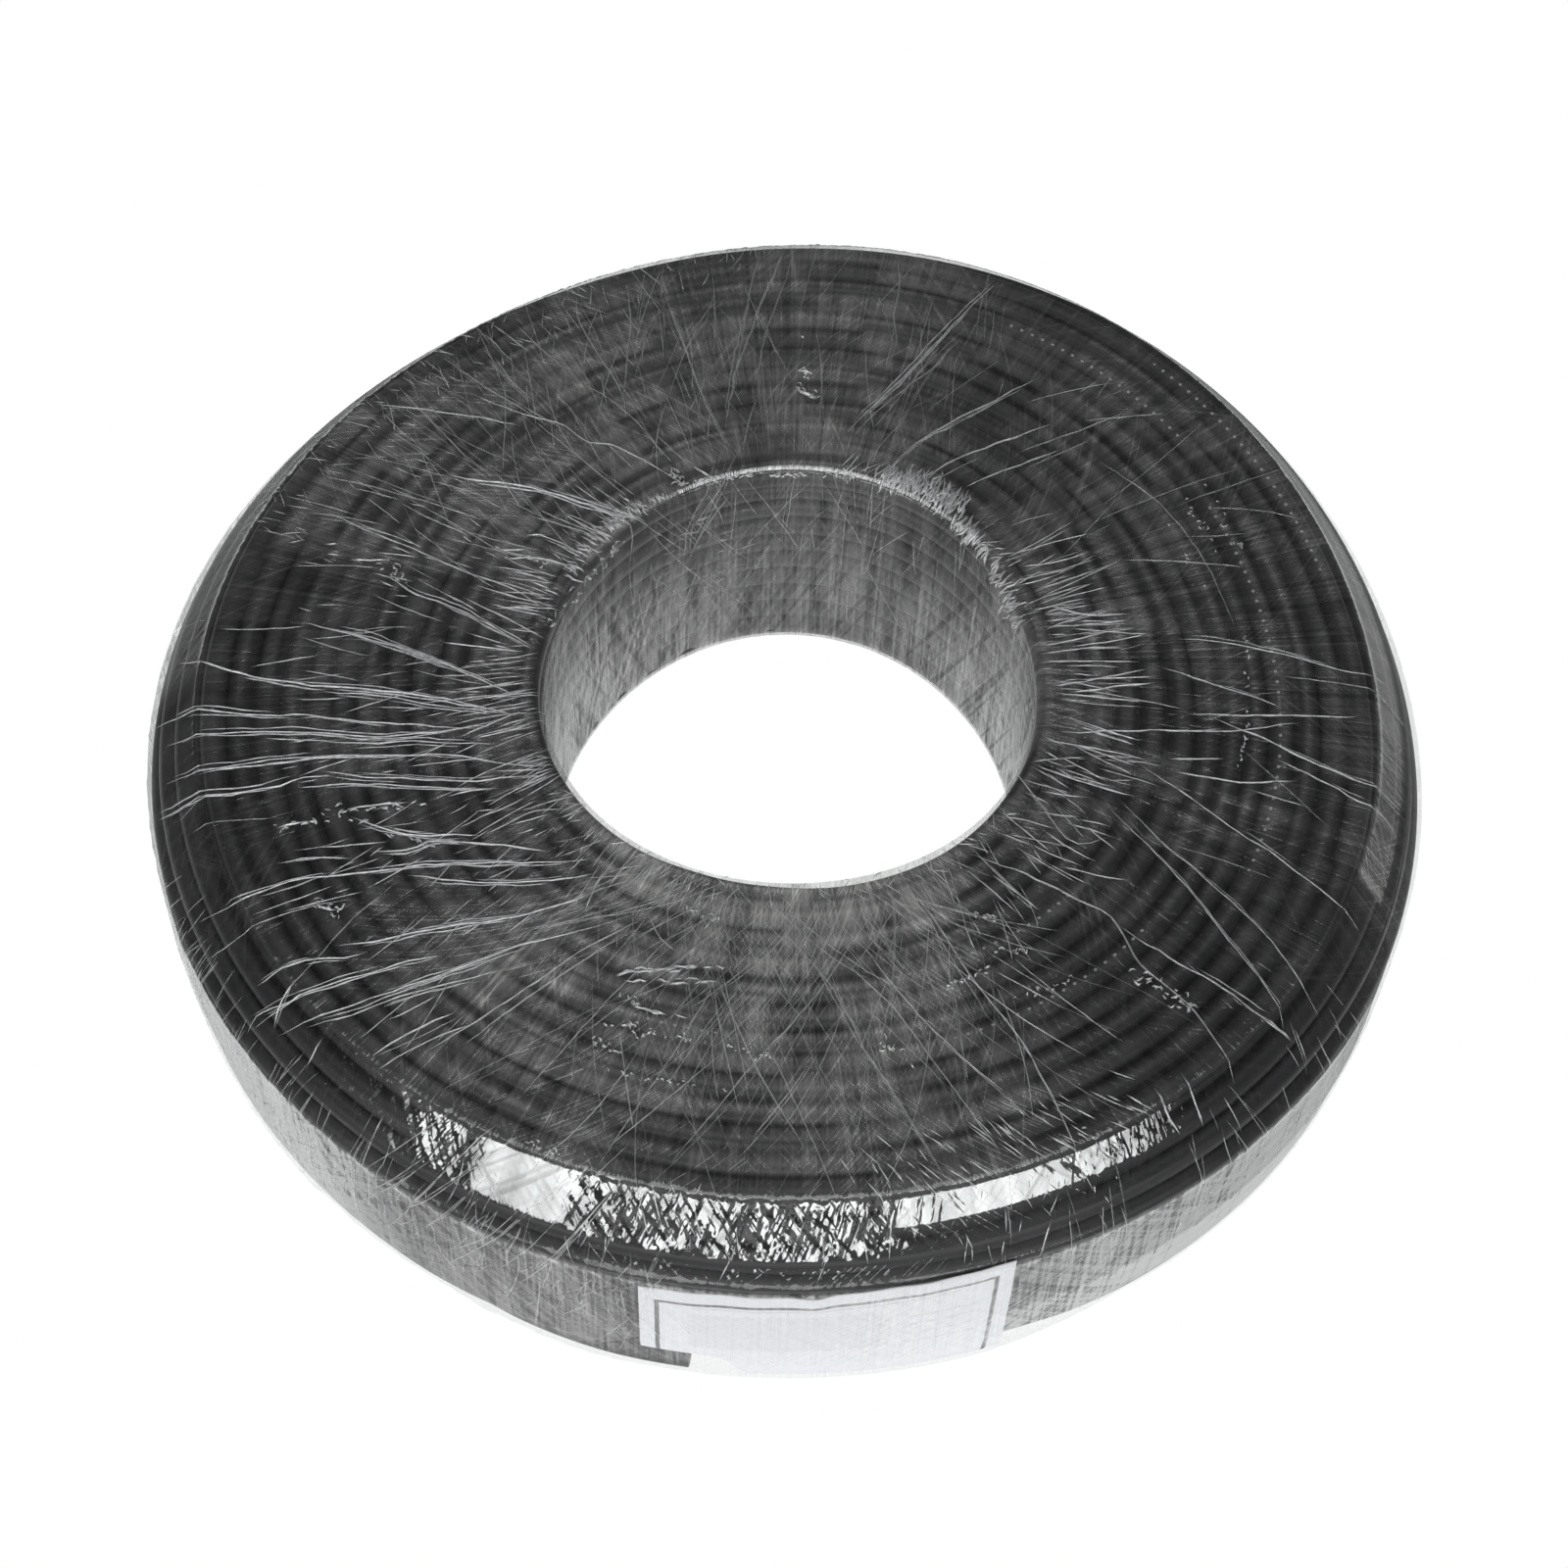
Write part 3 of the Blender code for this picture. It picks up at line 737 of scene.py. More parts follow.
        attributes = {
            "radial": round_ring(0.0),
            "skew_a": round_ring(7.5),
            "skew_b": round_ring(-7.0),
            "haze": self.haze[::every][:, index].reshape(-1),
            "painted_sheen": self.painted_sheen[::every][:, index].reshape(-1),
        }
        if rows == SHOULDER_ROWS:
            attributes["lean_a"] = round_ring(2.2)
            attributes["lean_b"] = round_ring(-4.4)
            attributes["gather"] = self.gather[:, index].reshape(-1)
        obj = mesh_object(
            name,
            points,
            grid_quads(columns, count)[:, ::-1],
            material,
            attributes,
            normals,
        )
        return finish_piece(obj, "clear_film", "stretch_film")

    def at(self, degrees, s):
        """Point and normal on the film at these angles and distances along the section."""
        u = (np.asarray(degrees, float) % 360) / 360 * self.columns
        v = np.interp(s, self.s, np.arange(len(self.s)))
        i, j = np.floor(u).astype(int), np.floor(v).astype(int)
        fu, fv = (u - i)[:, None], (v - j)[:, None]
        i0, i1 = i % self.columns, (i + 1) % self.columns
        j0, j1 = j, np.minimum(j + 1, len(self.s) - 1)

        def blend(a):
            low = a[i0, j0] * (1 - fu) + a[i1, j0] * fu
            high = a[i0, j1] * (1 - fu) + a[i1, j1] * fu
            return low * (1 - fv) + high * fv

        normal = blend(self.normals)
        return blend(self.points), normal / np.linalg.norm(normal, axis=1)[:, None]

    def radius_at(self, s):
        return np.interp(s, self.s, self.radius[0])


# ---- camera ---------------------------------------------------------------------
# The view is stated in pixels of a frame 1600 wide and high.
FOCAL = 3105.0
ELEVATION, ROLL = 0.9853, 0.0442
DISTANCE = 5.0847 * OUTER_R
TARGET = Vector((-CENTRE[0], -CENTRE[1], 0.0))
TARGET_PIXEL = (803.39, 852.07)
BACK = Vector((0, -math.cos(ELEVATION), math.sin(ELEVATION)))
RIGHT = Vector((1, 0, 0))
UP = Vector((0, math.sin(ELEVATION), math.cos(ELEVATION)))


def make_camera():
    c, s = math.cos(ROLL), math.sin(ROLL)
    right, up = c * RIGHT + s * UP, -s * RIGHT + c * UP
    data = bpy.data.cameras.new("camera")
    data.sensor_width = 36
    data.lens = FOCAL / 1600 * 36
    data.shift_x = -(TARGET_PIXEL[0] - 800) / 1600
    data.shift_y = (TARGET_PIXEL[1] - 800) / 1600
    camera = bpy.data.objects.new("camera", data)
    camera.matrix_world = Matrix.Translation(TARGET + BACK * DISTANCE) @ Matrix(
        (
            (right.x, up.x, BACK.x, 0),
            (right.y, up.y, BACK.y, 0),
            (right.z, up.z, BACK.z, 0),
            (0, 0, 0, 1),
        )
    )
    bpy.context.scene.collection.objects.link(camera)
    bpy.context.scene.camera = camera


def to_pixels(points):
    """Where points show in the view."""
    d = np.asarray(points) - np.array(TARGET + BACK * DISTANCE)
    x, y, z = d @ np.array(RIGHT), d @ np.array(UP), -(d @ np.array(BACK))
    u, w = FOCAL * x / z, -FOCAL * y / z
    c, s = math.cos(ROLL), math.sin(ROLL)
    return np.stack([TARGET_PIXEL[0] + c * u - s * w, TARGET_PIXEL[1] + s * u + c * w], -1)


class View:
    """Finds the spot on the film that a pixel of the view looks at."""

    def __init__(self, film):
        self.film = film
        self.columns = np.arange(0, COLUMNS, 4)
        self.rows = np.arange(2, 172)
        points = film.points[self.columns][:, self.rows]
        normals = film.normals[self.columns][:, self.rows]
        eye = np.array(TARGET + BACK * DISTANCE)
        seen = ((eye - points) * normals).sum(-1) > 0
        # The bore's near side and the wall's far side are behind the ring.
        radius, height = film.radius[self.columns][:, self.rows], film.height[self.columns][:, self.rows]
        front = np.sin(np.radians(film.degrees[self.columns]))[:, None] < 0.0
        seen &= ~((radius < BORE_R + 0.001) & (height < HEIGHT - 0.002) & front)
        self.seen = seen
        self.pixels = to_pixels(points)

    def find(self, pixels):
        """Angles and distances along the section for these pixels."""
        found = []
        for p in pixels:
            gap = ((self.pixels - np.array(p)) ** 2).sum(-1) + np.where(self.seen, 0, 1e9)
            i, j = np.unravel_index(np.argmin(gap), gap.shape)
            deg = float(self.film.degrees[self.columns[i]])
            s = float(self.film.s[self.rows[j]])
            for _ in range(4):
                q = np.array([[deg, s], [deg + 0.2, s], [deg, s + 0.0005]])
                spot = to_pixels(self.film.at(q[:, 0], q[:, 1])[0])
                jac = np.stack([(spot[1] - spot[0]) / 0.2, (spot[2] - spot[0]) / 0.0005], 1)
                if abs(np.linalg.det(jac)) < 1e-3:
                    break
                move = np.linalg.solve(jac, np.array(p) - spot[0])
                deg += float(np.clip(move[0], -2, 2))
                s += float(np.clip(move[1], -0.002, 0.002))
            found.append((deg, s))
        found = np.array(found)
        # a path over the +X axis goes on past 360
        found[:, 0] = np.degrees(np.unwrap(np.radians(found[:, 0])))
        return found


# ---- creases of the film --------------------------------------------------------
class Creases:
    """Thin folds standing on the film, gathered into one mesh."""

    def __init__(self, film, seed):
        self.film = film
        self.rng = np.random.default_rng(seed)
        self.points, self.quads, self.strength = [], [], []
        self.count = 0

    def add(self, path, width, height, strength, wobble=0.25, step=0.0028):
        """path is rows of (degrees, distance along the section). It tapers to a point at both ends."""
        path = np.array(path, float)
        # unwrap, then run a smooth curve through the points
        path[:, 0] = np.degrees(np.unwrap(np.radians(path[:, 0])))
        spots, _ = self.film.at(path[:, 0], path[:, 1])
        lengths = np.linalg.norm(np.diff(spots, axis=0), axis=1)
        total = lengths.sum()
        if total < 0.0008:
            return
        t = np.concatenate([[0], np.cumsum(lengths)])
        count = int(np.clip(round(total / step), 3, 60)) + 1
        at = np.linspace(0, total, count)
        soft = smooth_path(t, path, at)
        share = at / total
        # small sideways kinks
        kink = self.rng.normal(0, 1, count)
        kink = (kink + np.roll(kink, 1)) / 2 * wobble * width * smooth(share * 8) * smooth((1 - share) * 8)
        points, normals = self.film.at(soft[:, 0], soft[:, 1])
        ahead = np.gradient(points, axis=0)
        ahead /= np.linalg.norm(ahead, axis=1)[:, None] + 1e-12
        side = np.cross(normals, ahead)
        side /= np.linalg.norm(side, axis=1)[:, None] + 1e-12
        points = points + side * kink[:, None]
        taper = np.clip(np.minimum(share * 5, (1 - share) * 5), 0, 1) ** 0.7
        swellings = 0.7 + 0.6 * self.rng.random(count)
        half = (0.5 * width * taper * swellings)[:, None]
        tall = (height * taper * swellings)[:, None]
        sink = normals * 0.00002
        ring = np.stack(
            [
                points - side * half - sink,
                points + normals * tall + side * half * self.rng.uniform(-0.5, 0.5),
                points + side * half - sink,
            ],
            1,
        )
        body = ring[1:-1].reshape(-1, 3)
        n = count - 2
        first = self.count
        vertices = np.concatenate([body, points[:1], points[-1:]])
        quads = []
        for i in range(n - 1):
            for k in range(3):
                k2 = (k + 1) % 3
                quads.append((i * 3 + k, i * 3 + k2, i * 3 + 3 + k2, i * 3 + 3 + k))
        tip, end = n * 3, n * 3 + 1
        last = (n - 1) * 3
        for k in range(3):
            k2 = (k + 1) % 3
            quads.append((tip, k2, k, k))
            quads.append((end, last + k, last + k2, last + k2))
        self.points.append(vertices)
        self.quads.append(np.array(quads) + first)
        fade = 0.75 + 0.25 * self.rng.random(len(vertices))
        self.strength.append(strength * fade)
        self.count += len(vertices)

    def scatter(
        self,
        count,
        degrees,
        s,
        length,
        angle,
        strength,
        width=(0.00020, 0.00036),
        bend=0.15,
    ):
        """Seeded folds: angle is measured from straight outwards, towards growing degrees."""
        rng = self.rng
        for _ in range(count):
            d0, s0 = rng.uniform(*degrees), rng.uniform(*s)
            reach = length[0] + (length[1] - length[0]) * rng.random() ** 1.6
            a = math.radians(rng.uniform(*angle))
            turn = rng.normal(0, bend)
            rows = []
            d, q = d0, s0
            pieces = 5
            for i in range(pieces + 1):
                rows.append((d, q))
                b = a + turn * (i / pieces - 0.5)
                r = max(float(self.film.radius_at(q)), 0.05)
                q += reach / pieces * math.cos(b)
                d += math.degrees(reach / pieces * math.sin(b) / r)
            w = rng.uniform(*width)
            self.add(rows, w, w * 0.62, rng.uniform(*strength))

    def build(self, name, material):
        obj = mesh_object(
            name,
            np.concatenate(self.points),
            np.concatenate(self.quads),
            material,
            {"strength": np.concatenate(self.strength)},
        )
        return finish_piece(obj, "clear_film", "stretch_film")


def smooth_path(t, path, at):
    """A Catmull-Rom curve through path, read at the distances in at."""
    out = np.empty((len(at), path.shape[1]))
    last = len(t) - 1
    for n, x in enumerate(at):
        k = int(np.clip(np.searchsorted(t, x, side="right") - 1, 0, last - 1))
        p1, p2 = path[k], path[k + 1]
        p0 = path[k - 1] if k > 0 else p1
        p3 = path[k + 2] if k + 2 <= last else p2
        span = t[k + 1] - t[k]
        f = (x - t[k]) / span if span > 0 else 0.0
        m1 = (p2 - p0) * 0.5 if k > 0 else (p2 - p1)
        m2 = (p3 - p1) * 0.5 if k + 2 <= last else (p2 - p1)
        m1, m2 = np.clip(m1, -np.abs(p2 - p1) * 2, np.abs(p2 - p1) * 2), np.clip(
            m2, -np.abs(p2 - p1) * 2, np.abs(p2 - p1) * 2
        )
        f2, f3 = f * f, f * f * f
        out[n] = (
            (2 * f3 - 3 * f2 + 1) * p1
            + (f3 - 2 * f2 + f) * m1
            + (-2 * f3 + 3 * f2) * p2
            + (f3 - f2) * m2
        )
    return out


# Folds that stand out in the view: strength, width in millimetres, and the pixels that each runs through.
LEFT_FOLDS = (
    (0.75, 0.5, ((306, 633), (390, 656), (438, 672), (489, 692), (531, 711))),
    (1.0, 0.6, ((183, 677), (216, 678), (258, 690), (318, 699), (408, 707), (489, 720), (531, 731))),
    (0.8, 0.5, ((324, 704), (400, 712), (470, 723), (520, 728))),
    (0.9, 0.5, ((159, 743), (186, 731), (219, 725), (270, 729), (330, 731), (399, 738), (492, 743))),
    (0.85, 0.5, ((168, 762), (204, 750), (249, 747), (318, 747), (378, 752), (440, 748), (483, 741), (521, 731))),
    (0.8, 0.45, ((324, 756), (378, 759), (420, 756), (510, 759))),
    (0.95, 0.5, ((168, 801), (210, 786), (252, 779), (294, 774), (336, 771), (402, 770), (462, 770), (510, 779), (555, 782))),
    (0.8, 0.45, ((324, 786), (360, 791), (420, 795), (480, 797), (522, 792), (561, 791))),
    (0.95, 0.55, ((162, 837), (195, 819), (249, 809), (285, 801), (318, 792), (345, 792))),
    (0.75, 0.45, ((300, 804), (360, 800), (420, 803), (513, 804))),
    (0.35, 0.35, ((195, 851), (240, 837), (282, 834))),
    (1.0, 0.7, ((282, 845), (296, 842), (315, 837))),
    (1.0, 0.6, ((351, 827), (378, 821), (420, 818))),
    (0.95, 0.6, ((357, 833), (378, 842), (408, 849), (429, 852), (492, 852))),
    (0.55, 0.4, ((492, 852), (540, 830), (579, 825))),
    (0.9, 0.55, ((375, 869), (420, 867), (438, 860), (468, 860), (522, 864), (561, 869))),
    (0.85, 0.5, ((282, 881), (318, 876), (360, 876))),
    (0.95, 0.55, ((201, 942), (240, 921), (276, 906), (312, 896), (360, 891), (414, 885), (438, 881), (510, 881), (610, 875))),
    (0.45, 0.35, ((207, 984), (249, 953), (294, 932), (336, 921), (366, 917))),
    (0.8, 0.5, ((414, 893), (450, 897), (540, 900), (610, 890))),
    (0.95, 0.6, ((342, 965), (390, 959), (426, 951), (480, 942), (540, 933), (610, 908))),
    (0.95, 0.5, ((261, 1007), (294, 986), (318, 980), (357, 977), (375, 971))),
    (0.9, 0.5, ((252, 1055), (261, 1037), (300, 1019), (336, 1005), (378, 992), (420, 980), (456, 974))),
    (0.9, 0.5, ((282, 1058), (330, 1035), (378, 1019), (420, 1004), (474, 986), (540, 962), (610, 944))),
    (0.75, 0.45, ((510, 989), (420, 1013), (354, 1037), (312, 1049))),
    (0.35, 0.4, ((405, 899), (360, 938), (318, 983), (279, 1055))),
    (0.9, 0.55, ((468, 1031), (420, 1052), (378, 1079))),
    (0.7, 0.45, ((486, 1042), (430, 1066), (385, 1092))),
    (1.0, 0.7, ((322, 920), (332, 927), (345, 929))),
    (0.9, 0.5, ((300, 1000), (288, 1020), (279, 1050))),
    (0.9, 0.5, ((330, 1058), (322, 1072), (312, 1090))),
)
BACK_LEFT_FOLDS = (
    (0.55, 0.5, ((380, 412), (442, 419), (487, 426), (532, 435))),
    (0.6, 0.45, ((476, 400), (526, 420), (577, 435), (599, 451), (627, 455), (667, 476), (706, 503))),
    (1.0, 0.7, ((453, 485), (510, 493), (555, 501), (594, 514), (627, 525), (656, 532))),
    (0.8, 0.5, ((555, 497), (600, 512), (640, 524), (660, 533))),
    (1.0, 0.6, ((703, 473), (720, 484), (737, 496))),
    (0.3, 0.4, ((667, 442), (703, 476))),
    (0.6, 0.45, ((330, 521), (375, 541), (448, 571), (487, 588), (526, 602), (563, 625))),
    (0.95, 0.55, ((355, 571), (376, 572), (400, 571))),
    (0.9, 0.5, ((330, 555), (347, 555))),
    (0.85, 0.5, ((375, 584), (395, 588), (423, 605), (462, 619), (510, 644), (546, 664))),
    (0.7, 0.45, ((470, 608), (520, 632), (556, 652))),
    (0.7, 0.5, ((336, 640), (386, 653), (448, 675), (487, 689))),
    (0.95, 0.5, ((504, 560), (524, 561), (543, 560))),
    (0.9, 0.5, ((512, 570), (563, 572), (591, 588))),
    (0.9, 0.5, ((535, 546), (560, 546))),
    (0.35, 0.5, ((588, 297), (591, 325), (605, 353), (625, 384), (636, 406), (639, 428))),
    (0.35, 0.5, ((639, 288), (644, 325), (639, 372), (636, 406))),
    (0.4, 0.45, ((681, 308), (703, 367), (723, 417), (740, 451))),
    (0.5, 0.45, ((501, 330), (538, 358))),
    (0.5, 0.45, ((493, 339), (524, 369))),
    (0.5, 0.45, ((504, 364), (526, 395))),
)
BACK_FOLDS = (
    (0.30, 0.9, ((801, 253), (790, 280), (769, 334), (752, 379), (742, 427))),
    (0.30, 0.5, ((776, 256), (758, 328), (744, 390), (740, 440))),
    (0.25, 0.5, ((812, 255), (800, 290), (780, 345), (768, 400))),
    (0.35, 0.4, ((683, 310), (704, 369), (720, 411), (739, 452))),
    (0.65, 0.55, ((1020, 286), (972, 331), (929, 377), (897, 409), (862, 444))),
    (0.30, 0.45, ((983, 344), (943, 382), (881, 433), (866, 452))),
    (0.65, 0.5, ((1060, 385), (999, 417), (929, 457), (908, 476))),
    (0.60, 0.5, ((1075, 432), (1015, 454), (961, 476), (943, 492))),
    (0.60, 0.5, ((1085, 458), (1015, 484), (985, 497))),
    (0.40, 0.4, ((916, 264), (918, 291), (912, 318), (916, 355))),
    (0.35, 0.4, ((1150, 420), (1100, 440), (1040, 462))),
    (1.0, 1.1, ((814, 379), (822, 378), (830, 381))),
    (1.0, 1.1, ((811, 395), (822, 400), (833, 406))),
    (0.8, 0.8, ((817, 343), (821, 344))),
)
RIGHT_FOLDS = (
    (0.75, 0.45, ((1200, 652), (1237, 654), (1301, 666), (1384, 687), (1414, 700))),
    (0.65, 0.45, ((1182, 680), (1237, 698), (1274, 709), (1310, 723))),
    (0.85, 0.5, ((1237, 732), (1274, 748), (1333, 774), (1393, 799), (1430, 829))),
    (0.8, 0.45, ((1301, 774), (1347, 797), (1393, 820), (1425, 852))),
    (0.75, 0.45, ((1159, 778), (1209, 810), (1255, 843), (1297, 870), (1370, 925), (1388, 953))),
    (0.7, 0.45, ((1141, 815), (1173, 847), (1209, 879), (1260, 923), (1297, 960), (1329, 1003), (1347, 1040))),
    (0.7, 0.45, ((1131, 824), (1173, 865), (1209, 902), (1242, 944), (1278, 989), (1310, 1054))),
    (0.7, 0.55, ((1141, 944), (1191, 976), (1246, 1008), (1283, 1035), (1320, 1065))),
    (0.6, 0.55, ((989, 870), (1049, 893), (1095, 916), (1134, 937), (1164, 985), (1214, 1026), (1237, 1058), (1260, 1109))),
    (1.0, 0.6, ((1090, 707), (1141, 700), (1182, 696))),
    (0.9, 0.5, ((1072, 700), (1120, 692), (1173, 682))),
    (1.0, 0.6, ((1067, 618), (1108, 627), (1154, 626))),
    (0.85, 0.5, ((1076, 746), (1164, 746), (1237, 746), (1329, 737))),
    (0.8, 0.5, ((1209, 728), (1301, 730), (1388, 731))),
    (0.9, 0.5, ((1191, 774), (1251, 774))),
    (0.85, 0.5, ((1196, 787), (1255, 797), (1324, 797))),
    (0.75, 0.45, ((1030, 833), (1081, 847), (1136, 854))),
    (0.75, 0.45, ((1081, 884), (1154, 898))),
    (0.95, 0.6, ((1177, 1109), (1190, 1135), (1205, 1159))),
    (0.95, 0.6, ((1205, 1095), (1217, 1122), (1228, 1150))),
    (0.9, 0.6, ((1283, 1035), (1300, 1048), (1318, 1062))),
    (0.5, 0.4, ((1260, 640), (1230, 575), (1190, 520), (1120, 470))),
)
FRONT_FOLDS = (
    (0.40, 0.45, ((900, 914), (864, 972), (801, 1052), (748, 1110), (681, 1190))),
    (0.60, 0.55, ((931, 909), (962, 949), (989, 994), (1038, 1056), (1069, 1110), (1100, 1181))),
    (0.40, 0.4, ((925, 905), (955, 950), (985, 1000), (1010, 1040))),
    (0.45, 0.4, ((859, 976), (909, 1025), (953, 1083), (993, 1137), (1025, 1181))),
    (0.45, 0.4, ((792, 940), (846, 1003), (882, 1070), (926, 1137), (971, 1213))),
    (0.55, 0.5, ((654, 936), (592, 972), (525, 1016), (480, 1047), (430, 1075))),
    (0.45, 0.45, ((640, 950), (580, 990), (520, 1030), (470, 1068))),
    (0.40, 0.4, ((690, 950), (640, 1000), (585, 1060), (530, 1120))),
    (0.40, 0.4, ((730, 1000), (690, 1070), (650, 1130), (610, 1190))),
    (0.5, 0.4, ((661, 930), (672, 955), (692, 972))),
    (0.35, 0.4, ((820, 905), (800, 960), (770, 1010))),
    (0.35, 0.4, ((850, 905), (835, 960), (812, 1010))),
)


# strength, how many, their spread and length in pixels, how far they lean, and the line that they follow
CRUMPLES = (
    (1.0, 16, 1.5, 26, 12, ((638, 993), (734, 985))),
    (1.0, 12, 1.5, 24, 10, ((640, 998), (726, 1003))),
    (1.0, 12, 3.0, 8, 60, ((636, 1012), (650, 1026))),
    (0.9, 10, 1.2, 26, 8, ((650, 1027), (721, 1042))),
    (1.0, 16, 4.0, 9, 60, ((620, 1038), (660, 1054))),
    (0.9, 22, 1.5, 7, 70, ((660, 1053), (792, 1078))),
    (0.9, 14, 3.0, 8, 60, ((606, 1062), (632, 1072))),
    (0.9, 18, 1.5, 8, 60, ((618, 1092), (743, 1114))),
    (0.9, 14, 1.5, 7, 60, ((694, 926), (734, 938))),
    (1.0, 12, 2.0, 10, 50, ((540, 1166), (582, 1182))),
    (1.0, 12, 3.0, 9, 60, ((898, 1060), (938, 1086))),
    (0.9, 22, 1.5, 7, 60, ((962, 1010), (1016, 984))),
    (0.8, 16, 2.0, 6, 70, ((1038, 1020), (1095, 1000))),
    (0.9, 12, 2.0, 8, 60, ((1008, 968), (1050, 970))),
    (0.8, 12, 2.0, 8, 50, ((990, 930), (1016, 936))),
    (1.0, 26, 4.0, 12, 50, ((1154, 990), (1214, 1026))),
    (0.9, 14, 4.0, 12, 40, ((1105, 1155), (1163, 1185))),
    (1.0, 18, 3.0, 10, 60, ((285, 845), (318, 838), (350, 828))),
    (1.0, 18, 2.0, 12, 40, ((351, 829), (395, 822), (430, 820))),
    (0.9, 16, 2.0, 14, 25, ((360, 836), (441, 862))),
    (1.0, 16, 4.0, 9, 70, ((322, 918), (346, 930))),
    (0.8, 16, 3.0, 10, 50, ((505, 560), (590, 585))),
    (0.8, 14, 4.0, 10, 50, ((392, 572), (420, 600))),
    (0.9, 26, 2.5, 10, 40, ((560, 640), (600, 590), (640, 548))),
    (1.0, 10, 3.0, 9, 60, ((814, 378), (830, 382))),
    (1.0, 10, 3.0, 9, 60, ((812, 396), (834, 406))),
    (0.7, 12, 2.0, 6, 70, ((1202, 501), (1246, 569))),
    (0.7, 12, 2.0, 6, 70, ((1228, 491), (1267, 560))),
    (0.7, 10, 2.0, 6, 70, ((1189, 530), (1232, 599))),
    (0.9, 24, 1.5, 6, 70, ((1271, 650), (1274, 741), (1260, 796))),
)


# The same, with the strokes' own heading in degrees of the view, clockwise from the right, before the line.
FANS = (
    (1.0, 80, 3.0, 36, 14, -64, ((904, 486), (940, 494), (984, 520))),
    (1.0, 70, 4.5, 22, 20, -62, ((902, 484), (938, 492), (980, 516))),
    (1.0, 50, 4.0, 24, 18, -52, ((975, 530), (1000, 556), (1016, 585))),
    (0.9, 30, 4.0, 22, 18, -30, ((1016, 585), (1030, 610), (1040, 640))),
    (0.9, 34, 1.0, 9, 14, -12, ((680, 497), (722, 488), (760, 485))),
    (0.9, 40, 0.8, 9, 10, 2, ((760, 485), (830, 484), (892, 487))),
    (0.9, 40, 2.5, 16, 20, 38, ((676, 503), (640, 525), (610, 548))),
    (0.8, 40, 4.0, 24, 12, 28, ((640, 515), (605, 545), (580, 580))),
    (0.9, 12, 3.0, 8, 60, 20, ((680, 480), (697, 486))),
    (0.9, 10, 3.0, 10, 40, -70, ((858, 478), (864, 486))),
)


def stand_out(creases, view, folds, share=1.0, twins=3):
    rng = creases.rng
    for strength, width, pixels in folds:
        path = view.find(pixels)
        w = width * 0.00088
        creases.add(path, w, w * 0.62, strength * share, wobble=0.5)
        # fainter strands beside it, along parts of its way
        if len(pixels) > 3 and strength > 0.6:
            t = np.concatenate([[0], np.cumsum(np.hypot(*np.diff(np.array(pixels, float), axis=0).T))])
            for sign in (1, -1, 1 if rng.random() > 0.5 else -1)[:twins]:
                start = rng.uniform(0.0, 0.45)
                end = rng.uniform(start + 0.25, 1.0)
                twin = smooth_path(t, path, np.linspace(start, end, 6) * t[-1])
                twin[:, 0] += sign * math.degrees(rng.uniform(0.0004, 0.0013) / 0.11)
                creases.add(twin, w * rng.uniform(0.5, 0.9), w * 0.5, strength * share * rng.uniform(0.5, 0.95), wobble=0.7)


def bunches(creases, view, rows):
    """Feathery crumples: many short folds strewn along a line of pixels, each leaning by up to so many degrees."""
    rng = creases.rng
    for strength, count, spread, reach, lean, *heading, pixels in rows:
        t = np.linspace(0, 1, len(pixels))
        if heading:
            heading = heading[0]
        else:
            run = np.array(pixels[-1], float) - np.array(pixels[0], float)
            heading = math.degrees(math.atan2(run[1], run[0]))
        for _ in range(count):
            u = rng.random()
            x = np.interp(u, t, [p[0] for p in pixels]) + rng.normal(0, spread)
            y = np.interp(u, t, [p[1] for p in pixels]) + rng.normal(0, spread)
            a = math.radians(heading + rng.uniform(-lean, lean))
            half = reach * rng.uniform(0.35, 1.0) / 2
            dx, dy = half * math.cos(a), half * math.sin(a)
            bend = rng.normal(0, 0.45 if lean > 35 else 0.15) * half
            side = (-math.sin(a) * bend, math.cos(a) * bend)
            spots = view.find(
                ((x - dx, y - dy), (x + side[0], y + side[1]), (x + dx, y + dy))
            )
            w = rng.uniform(0.00034, 0.00068)
            creases.add(spots, w, w * 0.7, strength * rng.uniform(0.55, 1.0), wobble=0.8, step=0.0014)


# ---- cable ----------------------------------------------------------------------
def turn_list():
    """Centre and outward normal of each turn that shows, from the top inner one outwards and round."""
    top, base = HEIGHT - FILM_T - GAP - CABLE_R, FILM_T + GAP + CABLE_R
    wall = OUTER_R - 0.0006 - CABLE_R
    turns = [("top", FIRST_R + i * LAYER_PITCH, top) for i in range(TOP_LAYERS)]
    turns += [("top", 0.1442, 0.0603), ("top", 0.1485, 0.0555)]
    turns += [("wall", wall, 0.0492 - 0.0070 * i) for i in range(5)]
    turns += [("wall", 0.1504, 0.0146), ("wall", 0.1498, 0.0090), ("wall", 0.1459, 0.0042)]
    turns += [("base", FIRST_R + i * LAYER_PITCH, base) for i in range(BASE_LAYERS)]
    turns += [("bore", FIRST_R, 0.0655 - 0.0069 * i) for i in range(1, 9)]
    turns += [("bore", BORE_R + 0.0002 + CABLE_R, 0.0002 + CABLE_R)]
    return turns


